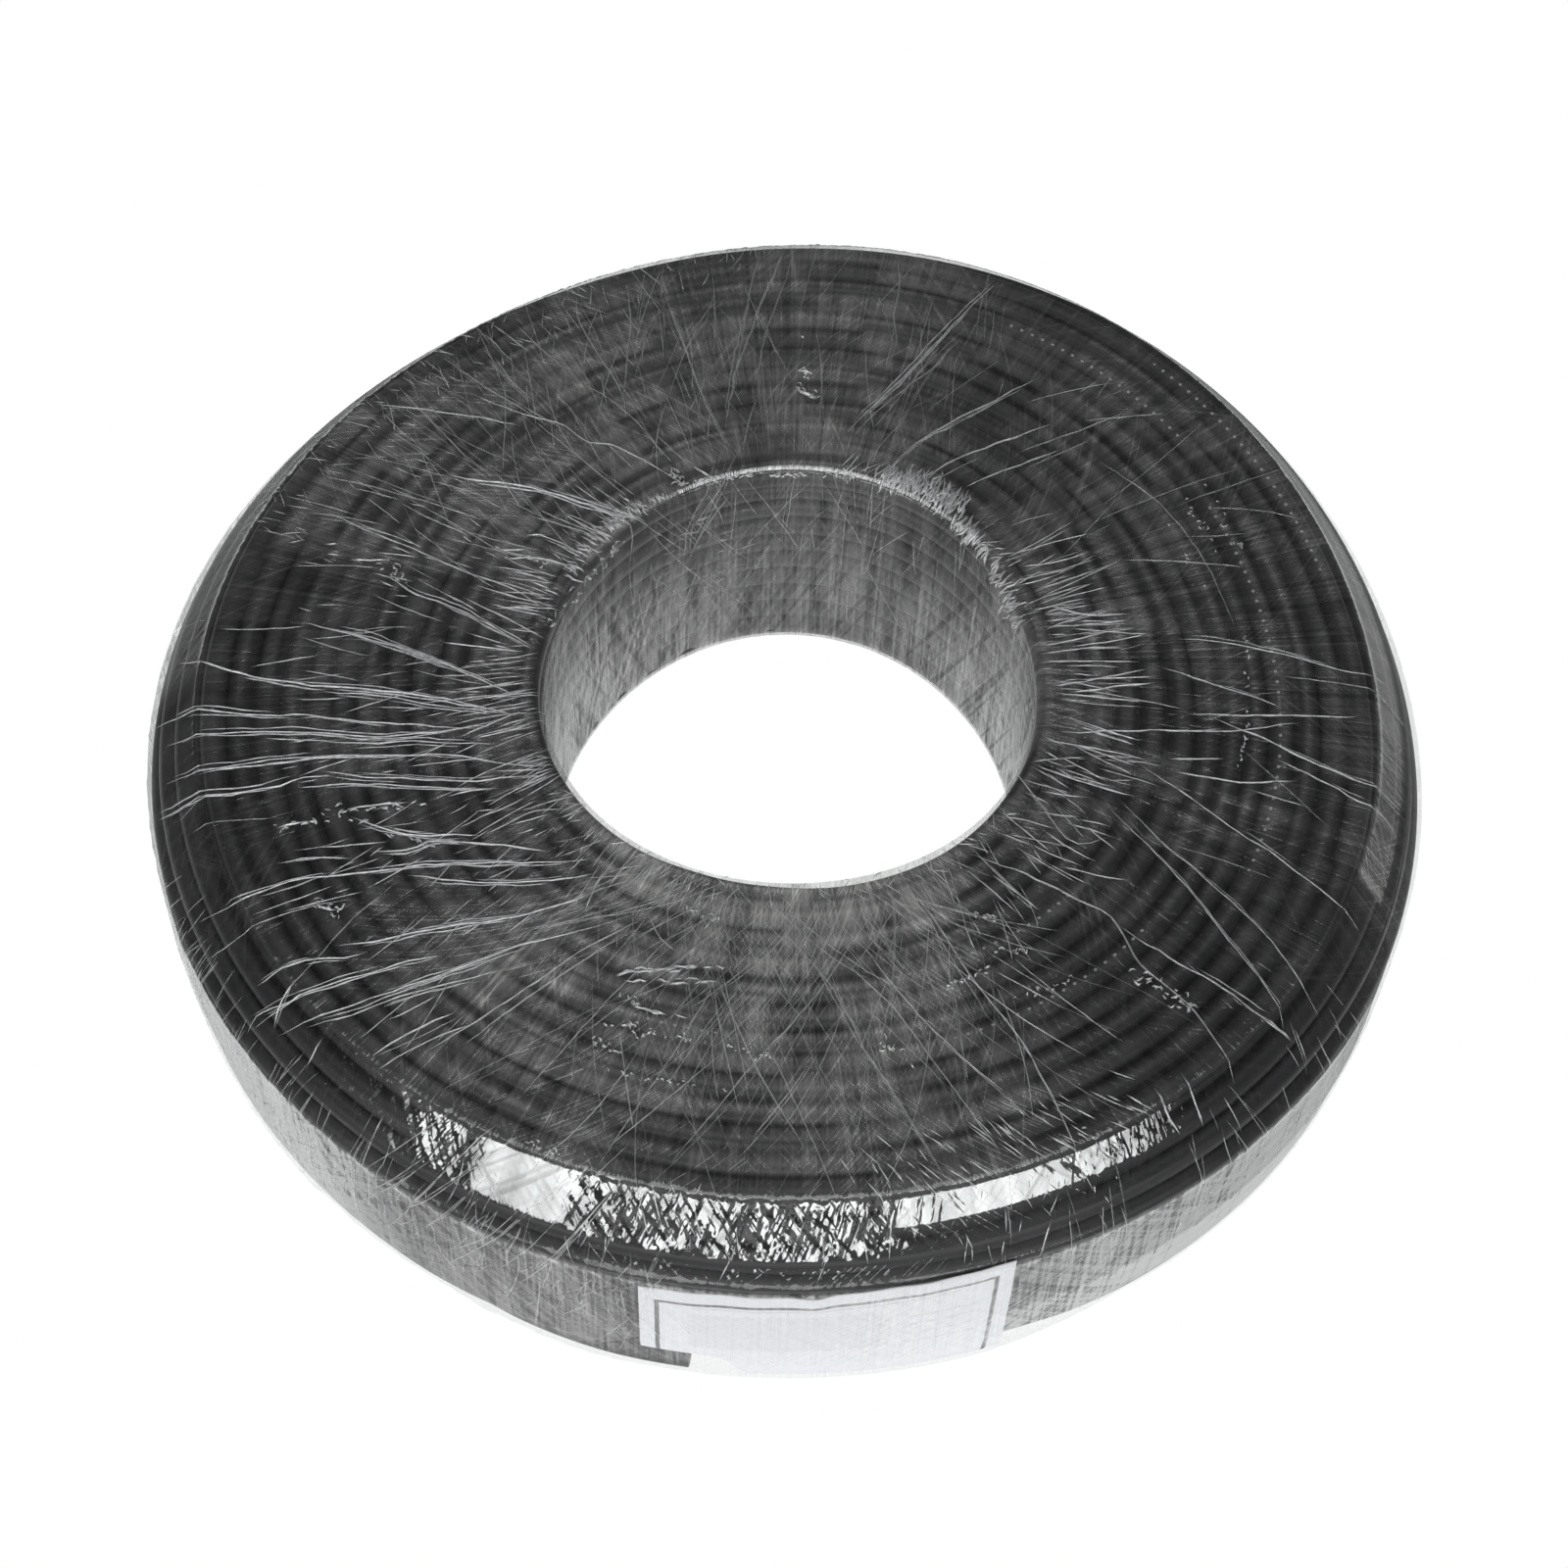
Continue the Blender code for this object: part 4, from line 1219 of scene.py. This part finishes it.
def tube(centres, sides, wide=1.0, closed=True, radius=CABLE_R):
    """A round cable along centres, wide across the ring by that much. Returns points, faces, and the share round each ring."""
    ahead = (
        np.roll(centres, -1, 0) - np.roll(centres, 1, 0)
        if closed
        else np.gradient(centres, axis=0)
    )
    ahead /= np.linalg.norm(ahead, axis=1)[:, None]
    up = np.array([0, 0, 1.0])
    side = np.cross(ahead, up)
    side /= np.linalg.norm(side, axis=1)[:, None]
    rise = np.cross(side, ahead)
    a = np.arange(sides) * 2 * math.pi / sides
    ring = (
        centres[:, None]
        + radius * wide * side[:, None] * np.cos(a)[None, :, None]
        + radius * rise[:, None] * np.sin(a)[None, :, None]
    )
    return ring, grid_quads(len(centres), sides, closed, True), a / (2 * math.pi)


PRINTED = ((9, 335, 30), (12, 18, 50), (7, 292, 322), (4, 286, 318), (10, 40, 66), (6, 250, 262))


def build_winding(material):
    groups = {}
    segments = {"top": 220, "wall": 200, "base": 140, "bore": 96}
    sides = {"top": 14, "wall": 12, "base": 10, "bore": 12}
    tail_heights = (0.0492, 0.0430, 0.0368, 0.0306, 0.0244, 0.0180, 0.0112, 0.0042)
    tail_radii = (None, None, None, None, None, 0.1509, 0.1507, 0.1420)
    label_spots = {5: (0.1502, 0.0142), 6: (0.1493, 0.0085), 7: (0.1455, 0.0042)}
    for index, (group, r, z) in enumerate(turn_list()):
        count = segments[group]
        degrees = np.arange(count) * 360 / count
        turn = degrees / 360
        if group == "top" and index < TOP_LAYERS:
            r = r + turn_drift(turn, float(index))
            z = z - turn_dip(turn, float(index))
            wide = 0.935
        elif group == "top":
            r = r - 0.0003 * noise(80 + index, turn, 0.5, 9)
            z = z - 0.0003 * noise(90 + index, turn, 0.5, 9)
            wide = 1.0
        elif group == "wall":
            # The lowest turns are pushed out and up over the cable's end, and out under the label.
            k = index - TOP_LAYERS - 2
            over = near(degrees, 252, 12, 7)
            z = z + over * (tail_heights[k] - z)
            if tail_radii[k]:
                r = r + over * (tail_radii[k] - r)
            if k in label_spots:
                under = near(degrees, 282, 13, 8) * (1 - over)
                r = r + under * (label_spots[k][0] - r)
                z = z + under * (label_spots[k][1] - z)
            # under the label the turns stay back by its thickness, and by more at its tucked corner
            r = r - 0.0006 * near(degrees, 275, 17, 6)
            if k == 6:
                r = r - 0.0043 * near(degrees, 263.5, 4.5, 2.5)
            r = r - 0.0004 * noise(80 + index, turn, 0.5, 9)
            z = z + 0.0007 * (noise(90 + index, turn, 0.5, 13) - 0.5)
            wide = 1.0
        elif group == "bore":
            free = float(z > 0.005)
            r = r + 0.0006 * free * noise(80 + index, turn, 0.5, 7)
            z = z + 0.0008 * free * (noise(90 + index, turn, 0.5, 9) - 0.5)
            wide = 1.0
        else:
            r = r + 0.0010 * (noise(80, turn, index * 0.4, 7) - 0.5)
            z = z + 0.0004 * noise(90 + index, turn, 0.5, 9)
            wide = 0.935
        centres = place(r, z, degrees)
        ring, quads, around = tube(centres, sides[group], wide)
        arc = np.cumsum(np.linalg.norm(np.diff(centres, axis=0, append=centres[:1]), axis=1))
        arc = np.broadcast_to(arc[:, None] * 1000, ring.shape[:2])
        printed = np.zeros(count)
        for layer, start, end in PRINTED:
            if index == layer:
                span = (end - start) % 360
                inside = ((degrees - start) % 360) < span
                printed = np.maximum(printed, inside.astype(float))
        printed = np.broadcast_to(printed[:, None], ring.shape[:2])
        parts = groups.setdefault(group, [])
        parts.append((ring.reshape(-1, 3), quads, arc.ravel(), np.tile(around, count), printed.ravel()))
    for group, parts in groups.items():
        first, points, quads, arcs, sides_, marks = 0, [], [], [], [], []
        for p, q, arc, around, printed in parts:
            points.append(p)
            quads.append(q + first)
            arcs.append(arc)
            sides_.append(around)
            marks.append(printed)
            first += len(p)
        obj = mesh_object(
            "winding_" + group,
            np.concatenate(points),
            np.concatenate(quads),
            material,
            {
                "arc": np.concatenate(arcs),
                "side": np.concatenate(sides_),
                "printed": np.concatenate(marks),
            },
        )
        finish_piece(obj, "pvc_jacket", "cable_coil")


def build_core(material):
    """The turns further in, as one dark body just behind the ones that show."""
    section = [
        (0.0637, 0.0050),
        (0.0637, 0.0640),
        (0.1400, 0.0640),
        (0.1462, 0.0555),
        (0.1496, 0.0490),
        (0.1496, 0.0150),
        (0.1475, 0.0090),
        (0.1430, 0.0045),
    ]
    rows = []
    for k, (a, b) in enumerate(zip(section, section[1:] + section[:1])):
        pieces = max(2, int(math.hypot(b[0] - a[0], b[1] - a[1]) / 0.0031))
        for i in range(pieces):
            t = i / pieces
            rows.append((a[0] + (b[0] - a[0]) * t, a[1] + (b[1] - a[1]) * t))
    rows = np.array(rows)
    count = 144
    degrees = (np.arange(count) * 360 / count)[:, None]
    lumps = noise(101, degrees / 360, np.arange(len(rows))[None] * 0.5, 40) - 0.5
    radius = rows[None, :, 0] + 0.0006 * lumps
    points = place(radius, np.broadcast_to(rows[None, :, 1], radius.shape), degrees)
    obj = mesh_object("winding_core", points, grid_quads(count, len(rows), True, True)[:, ::-1], material)
    finish_piece(obj, "pvc_jacket", "cable_coil")


def build_tail(jacket):
    """The cable's outer end: jacket, and the three cores with their copper in the square cut."""
    route = np.array(
        [
            (224.0, 0.1452, 0.0046),
            (230.0, 0.1457, 0.0043),
            (236.0, 0.1461, 0.0043),
            (240.0, 0.1467, 0.0043),
            (244.0, 0.1476, 0.0043),
            (248.0, 0.1484, 0.0042),
            (252.0, 0.1489, 0.0042),
            (257.0, 0.1493, 0.0042),
            (TAIL_END, 0.1493, 0.0042),
        ]
    )
    t = np.concatenate([[0], np.cumsum(np.abs(np.diff(route[:, 0])))])
    path = smooth_path(t, route, np.linspace(0, t[-1], 64))
    centres = place(path[:, 1], path[:, 2], path[:, 0])
    sides = 20
    ring, quads, around = tube(centres, sides, 1.0, closed=False)
    points = ring.reshape(-1, 3)
    count = len(centres)
    ahead = centres[-1] - centres[-2]
    ahead /= np.linalg.norm(ahead)
    # the cut: the jacket's edge turns in to its inner wall, then a floor a little way down
    extra, faces = [], []
    last = (count - 1) * sides
    base = count * sides
    rings = [(0.93, 0.00012), (0.74, 0.00010), (0.72, -0.0004)]
    for share, shift in rings:
        extra.append(centres[-1] + (ring[-1] - centres[-1]) * share + ahead * shift)
    previous = last
    for k in range(len(rings)):
        start = base + k * sides
        for i in range(sides):
            j = (i + 1) % sides
            faces.append((previous + i, previous + j, start + j, start + i))
        previous = start
    hub = base + len(rings) * sides
    extra_points = np.concatenate(extra + [(centres[-1] - ahead * 0.0005)[None]])
    for i in range(sides):
        j = (i + 1) % sides
        faces.append((previous + i, previous + j, hub, hub))
    start_hub = hub + 1
    for i in range(sides):
        j = (i + 1) % sides
        faces.append((j, i, start_hub, start_hub))
    points = np.concatenate([points, extra_points, centres[:1]])
    arc = np.concatenate([np.repeat(np.arange(count) * 1.0, sides), np.zeros(len(points) - count * sides)])
    attributes = {
        "arc": arc,
        "side": np.zeros(len(points)),
        "printed": np.zeros(len(points)),
    }
    obj = mesh_object("cable_end", points, np.concatenate([quads, np.array(faces)]), jacket, attributes)
    obj.data.set_sharp_from_angle(angle=math.radians(40))
    finish_piece(obj, "pvc_jacket", "cable_coil")
    # cores and copper
    side = np.cross(ahead, [0, 0, 1.0])
    side /= np.linalg.norm(side)
    rise = np.cross(side, ahead)
    colours = (
        ("core_brown", (0.16, 0.055, 0.025)),
        ("core_blue", (0.03, 0.10, 0.28)),
        ("core_earth", (0.24, 0.30, 0.05)),
    )
    copper = plain_material("copper", (0.72, 0.33, 0.16), 0.35, 1.0)
    for k, (name, colour) in enumerate(colours):
        a = math.radians(90 + 120 * k)
        middle = centres[-1] + 0.00128 * (side * math.cos(a) + rise * math.sin(a))
        for label, r, depth, finish in (
            (name, 0.00105, 0.00004, plain_material(name, colour, 0.45)),
            (name + "_wire", 0.00055, 0.00010, copper),
        ):
            line = np.stack([middle - ahead * 0.0006, middle + ahead * (depth - 0.0001), middle + ahead * depth])
            shrink = (1.0, 1.0, 0.9)
            rings_ = []
            m = 16
            around_ = np.arange(m) * 2 * math.pi / m
            for spot, share in zip(line, shrink):
                rings_.append(
                    spot
                    + r * share * (side * np.cos(around_)[:, None] + rise * np.sin(around_)[:, None])
                )
            rings_ = np.array(rings_)
            pts = np.concatenate([rings_.reshape(-1, 3), line[:1], line[-1:]])
            q = list(grid_quads(3, m, False, True))
            for i in range(m):
                j = (i + 1) % m
                q.append(np.array((j, i, 3 * m, 3 * m)))
                q.append(np.array((2 * m + i, 2 * m + j, 3 * m + 1, 3 * m + 1)))
            piece = mesh_object("cable_end_" + label, pts, np.array(q), finish)
            piece.data.set_sharp_from_angle(angle=math.radians(40))
            finish_piece(piece, "pvc_jacket", "cable_coil")


def build_label(material):
    """A sheet with thickness, wavy along its top, lying on the turns and tucked under the cable's end."""
    wall = WALL_R + GAP + LABEL_T / 2
    tucked = np.array(
        [(wall, 0.0510), (wall, 0.0345), (wall, 0.0180), (0.1526, 0.0125), (0.1485, 0.0088), (0.1448, 0.0054), (0.1440, 0.0034)]
    )
    hanging = np.array(
        [(wall, 0.0510), (wall, 0.0345), (wall, 0.0180), (0.1541, 0.0122), (0.1536, 0.0072), (0.1522, 0.0029), (0.1499, 0.00125)]
    )
    columns, rows = 120, 64
    degrees = np.linspace(LABEL_FROM, LABEL_TO, columns)
    t = np.linspace(0, 1, rows)
    sections = []
    for line in (tucked, hanging):
        length = np.concatenate([[0], np.cumsum(np.hypot(*np.diff(line, axis=0).T))])
        sections.append(smooth_path(length, line, t * length[-1]))
    mix = np.clip((degrees - TAIL_END - 0.5) / 5.0, 0, 1)[:, None, None]
    mix = mix * mix * (3 - 2 * mix)
    rz = sections[0][None] * (1 - mix) + sections[1][None] * mix
    askew = np.linspace(LABEL_TOP[0], LABEL_TOP[1], columns)[:, None] - 0.0510
    rz[..., 1] = rz[..., 1] + askew * smooth((rz[..., 1] - 0.012) / 0.030)
    across = (degrees - LABEL_FROM) / (LABEL_TO - LABEL_FROM)
    up = 1 - t
    a, u = np.meshgrid(across, up, indexing="ij")
    # turns under the paper press through as soft level ridges, and its upper edge lifts in waves
    ridge = 0.00010 * np.cos(2 * math.pi * (rz[..., 1] - 0.0486) / 0.0072)
    edge = smooth((u - 0.72) / 0.28)
    wave = 0.00030 * edge * (np.sin(a * 17 + 0.6) * 0.5 + np.sin(a * 41 + 2.0) * 0.35)
    wrinkle = 0.00012 * (noise(111, a * 0.8, u * 6 + 2, 9) - 0.5)
    out = np.clip(ridge + wave + wrinkle - 0.0001, -0.00028, 0.00022)
    radius = rz[..., 0] + out
    top_wave = 0.0011 * edge * (np.exp(-(((a - 0.47) / 0.035) ** 2)) * -1.0 + 0.25 * np.sin(a * 9 + 1))
    height = rz[..., 1] + top_wave
    sheets = []
    for lift in (LABEL_T / 2, -LABEL_T / 2):
        sheets.append(place(radius + lift, height, degrees[:, None]))
    n = columns * rows
    front = grid_quads(columns, rows, False, False)
    back = front[:, ::-1] + n
    # rim
    def index(i, j):
        return i * rows + j

    rim = []
    loop = [(i, 0) for i in range(columns)] + [(columns - 1, j) for j in range(1, rows)]
    loop += [(i, rows - 1) for i in range(columns - 2, -1, -1)] + [(0, j) for j in range(rows - 2, 0, -1)]
    for (i, j), (k, m) in zip(loop, loop[1:] + loop[:1]):
        rim.append((index(i, j), index(k, m), index(k, m) + n, index(i, j) + n))
    points = np.concatenate([sheets[0].reshape(-1, 3), sheets[1].reshape(-1, 3)])
    quads = np.concatenate([front[:, ::-1], back[:, ::-1], np.array(rim)])
    attributes = {
        "across": np.tile(a.ravel() * 85, 2),
        "up": np.tile(u.ravel() * 52, 2),
    }
    obj = mesh_object("paper_label_sheet", points, quads, material, attributes)
    obj.data.set_sharp_from_angle(angle=math.radians(50))
    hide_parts("paper_label")
    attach(obj, "root")


# ---- stage ----------------------------------------------------------------------
def area_light(name, azimuth, elevation, distance, width, height, radiance, colour=(1, 1, 1)):
    """A soft panel facing the coil. radiance is what its face shows in a mirror."""
    data = bpy.data.lights.new(name, "AREA")
    data.shape = "RECTANGLE"
    data.size, data.size_y = width, height
    data.energy = radiance * width * height * math.pi
    data.color = colour
    a, e = math.radians(azimuth), math.radians(elevation)
    out = Vector((math.cos(a) * math.cos(e), math.sin(a) * math.cos(e), math.sin(e)))
    light = bpy.data.objects.new(name, data)
    light.location = out * distance + Vector((0, 0, 0.04))
    light.rotation_euler = out.to_track_quat("Z", "Y").to_euler()
    bpy.context.scene.collection.objects.link(light)
    return light


def build_stage():
    # White to the eye all over. What it lends to mirrors and as light fades out round the coil, as a sweep of paper does.
    n = Nodes("floor")
    where = n.add("TexCoord").outputs["Object"]
    flat = n.add("VectorMath", {"operation": "LENGTH"})
    n.put(flat, "0", where)
    reach = n.span(flat.outputs["Value"], 0.24, 0.42, 1.0, 0.04)
    lit = n.add("Emission")
    n.put(lit, "Strength", reach)
    seen = n.add("Emission", Strength=1.0)
    eye = n.add("LightPath").outputs["Is Camera Ray"]
    material = n.done(n.mixed(eye, lit.outputs[0], seen.outputs[0]))
    size = 6.0
    points = [(-size, -size, 0), (size, -size, 0), (size, size, 0), (-size, size, 0)]
    floor = mesh_object("floor", points, [[0, 1, 2, 3]], material)
    floor.location.z = -0.0001
    world = bpy.data.worlds.new("world")
    world.use_nodes = True
    tree = world.node_tree
    background = tree.nodes["Background"]
    background.inputs["Color"].default_value = (0.96, 0.97, 1.0, 1)
    # pale behind everything, faint as light
    seen = tree.nodes.new("ShaderNodeLightPath").outputs["Is Camera Ray"]
    strength = tree.nodes.new("ShaderNodeMapRange")
    tree.links.new(seen, strength.inputs["Value"])
    strength.inputs["To Min"].default_value = 0.06
    strength.inputs["To Max"].default_value = 1.0
    tree.links.new(strength.outputs[0], background.inputs["Strength"])
    bpy.context.scene.world = world
    for k, azimuth in enumerate((230, 267, 304)):
        area_light(f"front_panel_{k}", azimuth, 19.5, 1.6, 1.04, 0.66, 3.0)
    area_light("overhead", 270, 84, 1.5, 1.2, 0.9, 1.9)
    view = bpy.context.scene.view_settings
    view.view_transform = "Standard"
    view.look = "None"


# ---- putting it together --------------------------------------------------------
def main():
    make_camera()
    build_stage()
    jacket = cable_material()
    build_winding(jacket)
    build_core(jacket)
    build_tail(jacket)
    build_label(paper_material())

    film = Film()
    top = film_material("film_top", gloss=2.4, rough=0.10)
    shoulder = film_material("film_shoulder", gloss=7.0, most=0.80, rough=0.05, wrinkle=0.35, painted_crush_shade=0.94)
    wall = film_material("film_wall", gloss=2.6, rough=0.10, wrinkle=0.7, patchy=0.6, hatch=0.7, streaks=1.6)
    bore = film_material("film_bore", gloss=2.4, rough=0.12, wrinkle=0.6, dense=0.5, streaks=0.8, patchy=0.7, hatch=0.5)
    film.piece("film_bore", BORE_ROWS, bore, every=2)
    film.piece("film_top", TOP_ROWS, top)
    Film(2 * COLUMNS).piece("film_shoulder", SHOULDER_ROWS, shoulder)
    film.piece("film_wall", WALL_ROWS, wall)
    film.piece("film_base", BASE_ROWS, wall, every=2)

    view = View(film)
    creases = Creases(film, 5)
    for folds in (LEFT_FOLDS, BACK_LEFT_FOLDS, BACK_FOLDS):
        stand_out(creases, view, folds)
    stand_out(creases, view, RIGHT_FOLDS, 0.72, 1)
    stand_out(creases, view, FRONT_FOLDS, 1.0, 1)
    bunches(creases, view, CRUMPLES)
    bunches(creases, view, FANS)
    edge = film.s[SHOULDER_ROWS[0]]
    scatter = creases.scatter
    # the bore's rim, all round, with the long fans at its back
    scatter(110, (128, 214), (-0.0005, 0.006), (0.005, 0.022), (-4, 16), (0.45, 1.0))
    scatter(50, (205, 262), (-0.0005, 0.004), (0.004, 0.014), (-30, 10), (0.3, 0.8))
    scatter(40, (38, 82), (-0.001, 0.003), (0.003, 0.011), (-45, 10), (0.7, 1.0))
    # in the bore: fine upright lines, a few that cross, and scuffs
    scatter(60, (20, 160), (-0.060, -0.012), (0.010, 0.036), (-7, 7), (0.10, 0.32))
    scatter(26, (60, 120), (-0.060, -0.012), (0.014, 0.040), (16, 34), (0.12, 0.36))
    scatter(26, (60, 120), (-0.060, -0.012), (0.014, 0.040), (-34, -16), (0.12, 0.36))
    scatter(40, (98, 122), (-0.045, -0.010), (0.003, 0.009), (60, 110), (0.15, 0.5))
    scatter(60, (160, 380), (-0.060, -0.008), (0.008, 0.030), (-15, 15), (0.08, 0.28))
    scatter(80, (-25, 38), (0.000, 0.012), (0.005, 0.026), (-12, 10), (0.45, 1.0))
    scatter(60, (300, 345), (0.000, 0.02), (0.004, 0.018), (-30, 30), (0.3, 0.8))
    scatter(70, (215, 325), (-0.001, 0.004), (0.002, 0.008), (-60, 60), (0.3, 0.7))
    # the left: short dashes among the long folds
    scatter(150, (145, 238), (0.005, 0.060), (0.004, 0.022), (-22, 16), (0.35, 0.95))
    # the back left: long faint lines and a crowd of fine scratches by the edge
    scatter(110, (105, 160), (0.005, 0.060), (0.010, 0.040), (-40, 15), (0.12, 0.45))
    scatter(200, (95, 165), (edge - 0.018, edge + 0.004), (0.003, 0.012), (-50, 40), (0.2, 0.6))
    # the back
    scatter(50, (60, 105), (0.005, 0.060), (0.010, 0.040), (-25, 25), (0.10, 0.35))
    # the right: few, and long
    scatter(26, (-30, 60), (0.010, 0.060), (0.008, 0.045), (-35, 35), (0.12, 0.5))
    # the front: faint crossing lines, and bright dashes by the edge
    scatter(55, (244, 306), (-0.002, 0.050), (0.016, 0.060), (-36, -14), (0.06, 0.22))
    scatter(55, (244, 306), (-0.002, 0.050), (0.016, 0.060), (14, 36), (0.06, 0.22))
    scatter(60, (238, 300), (-0.001, 0.018), (0.012, 0.040), (-50, -10), (0.10, 0.30))
    scatter(60, (238, 300), (-0.001, 0.018), (0.012, 0.040), (10, 50), (0.10, 0.30))
    scatter(16, (244, 306), (0.000, 0.050), (0.016, 0.050), (-34, -14), (0.3, 0.6))
    scatter(16, (244, 306), (0.000, 0.050), (0.016, 0.050), (14, 34), (0.3, 0.6))
    scatter(70, (276, 305), (edge - 0.016, edge - 0.003), (0.003, 0.011), (15, 40), (0.5, 1.0))
    scatter(60, (250, 300), (edge - 0.004, edge + 0.016), (0.003, 0.012), (-35, 35), (0.4, 0.9))
    # over the shoulder and down the wall
    scatter(70, (205, 262), (edge + 0.006, edge + 0.035), (0.010, 0.034), (-16, 4), (0.10, 0.4), bend=0.25)
    scatter(90, (-60, 205), (edge, edge + 0.045), (0.006, 0.028), (-14, 14), (0.08, 0.3))
    scatter(50, (288, 330), (edge + 0.004, edge + 0.035), (0.008, 0.030), (-14, 14), (0.15, 0.5))
    # long lines over the edge at the front left, all leaning one way, and the wall's own hatching
    scatter(16, (238, 262), (edge - 0.012, edge + 0.012), (0.030, 0.055), (-34, -22), (0.35, 0.7), bend=0.05)
    scatter(60, (238, 262), (edge + 0.014, edge + 0.050), (0.005, 0.016), (-36, -12), (0.12, 0.4))
    scatter(40, (238, 262), (edge + 0.014, edge + 0.050), (0.005, 0.016), (10, 34), (0.10, 0.3))
    scatter(70, (200, 238), (edge + 0.012, edge + 0.036), (0.012, 0.036), (-14, 4), (0.15, 0.45), bend=0.25)
    creases.build("film_creases", crease_material())


main()
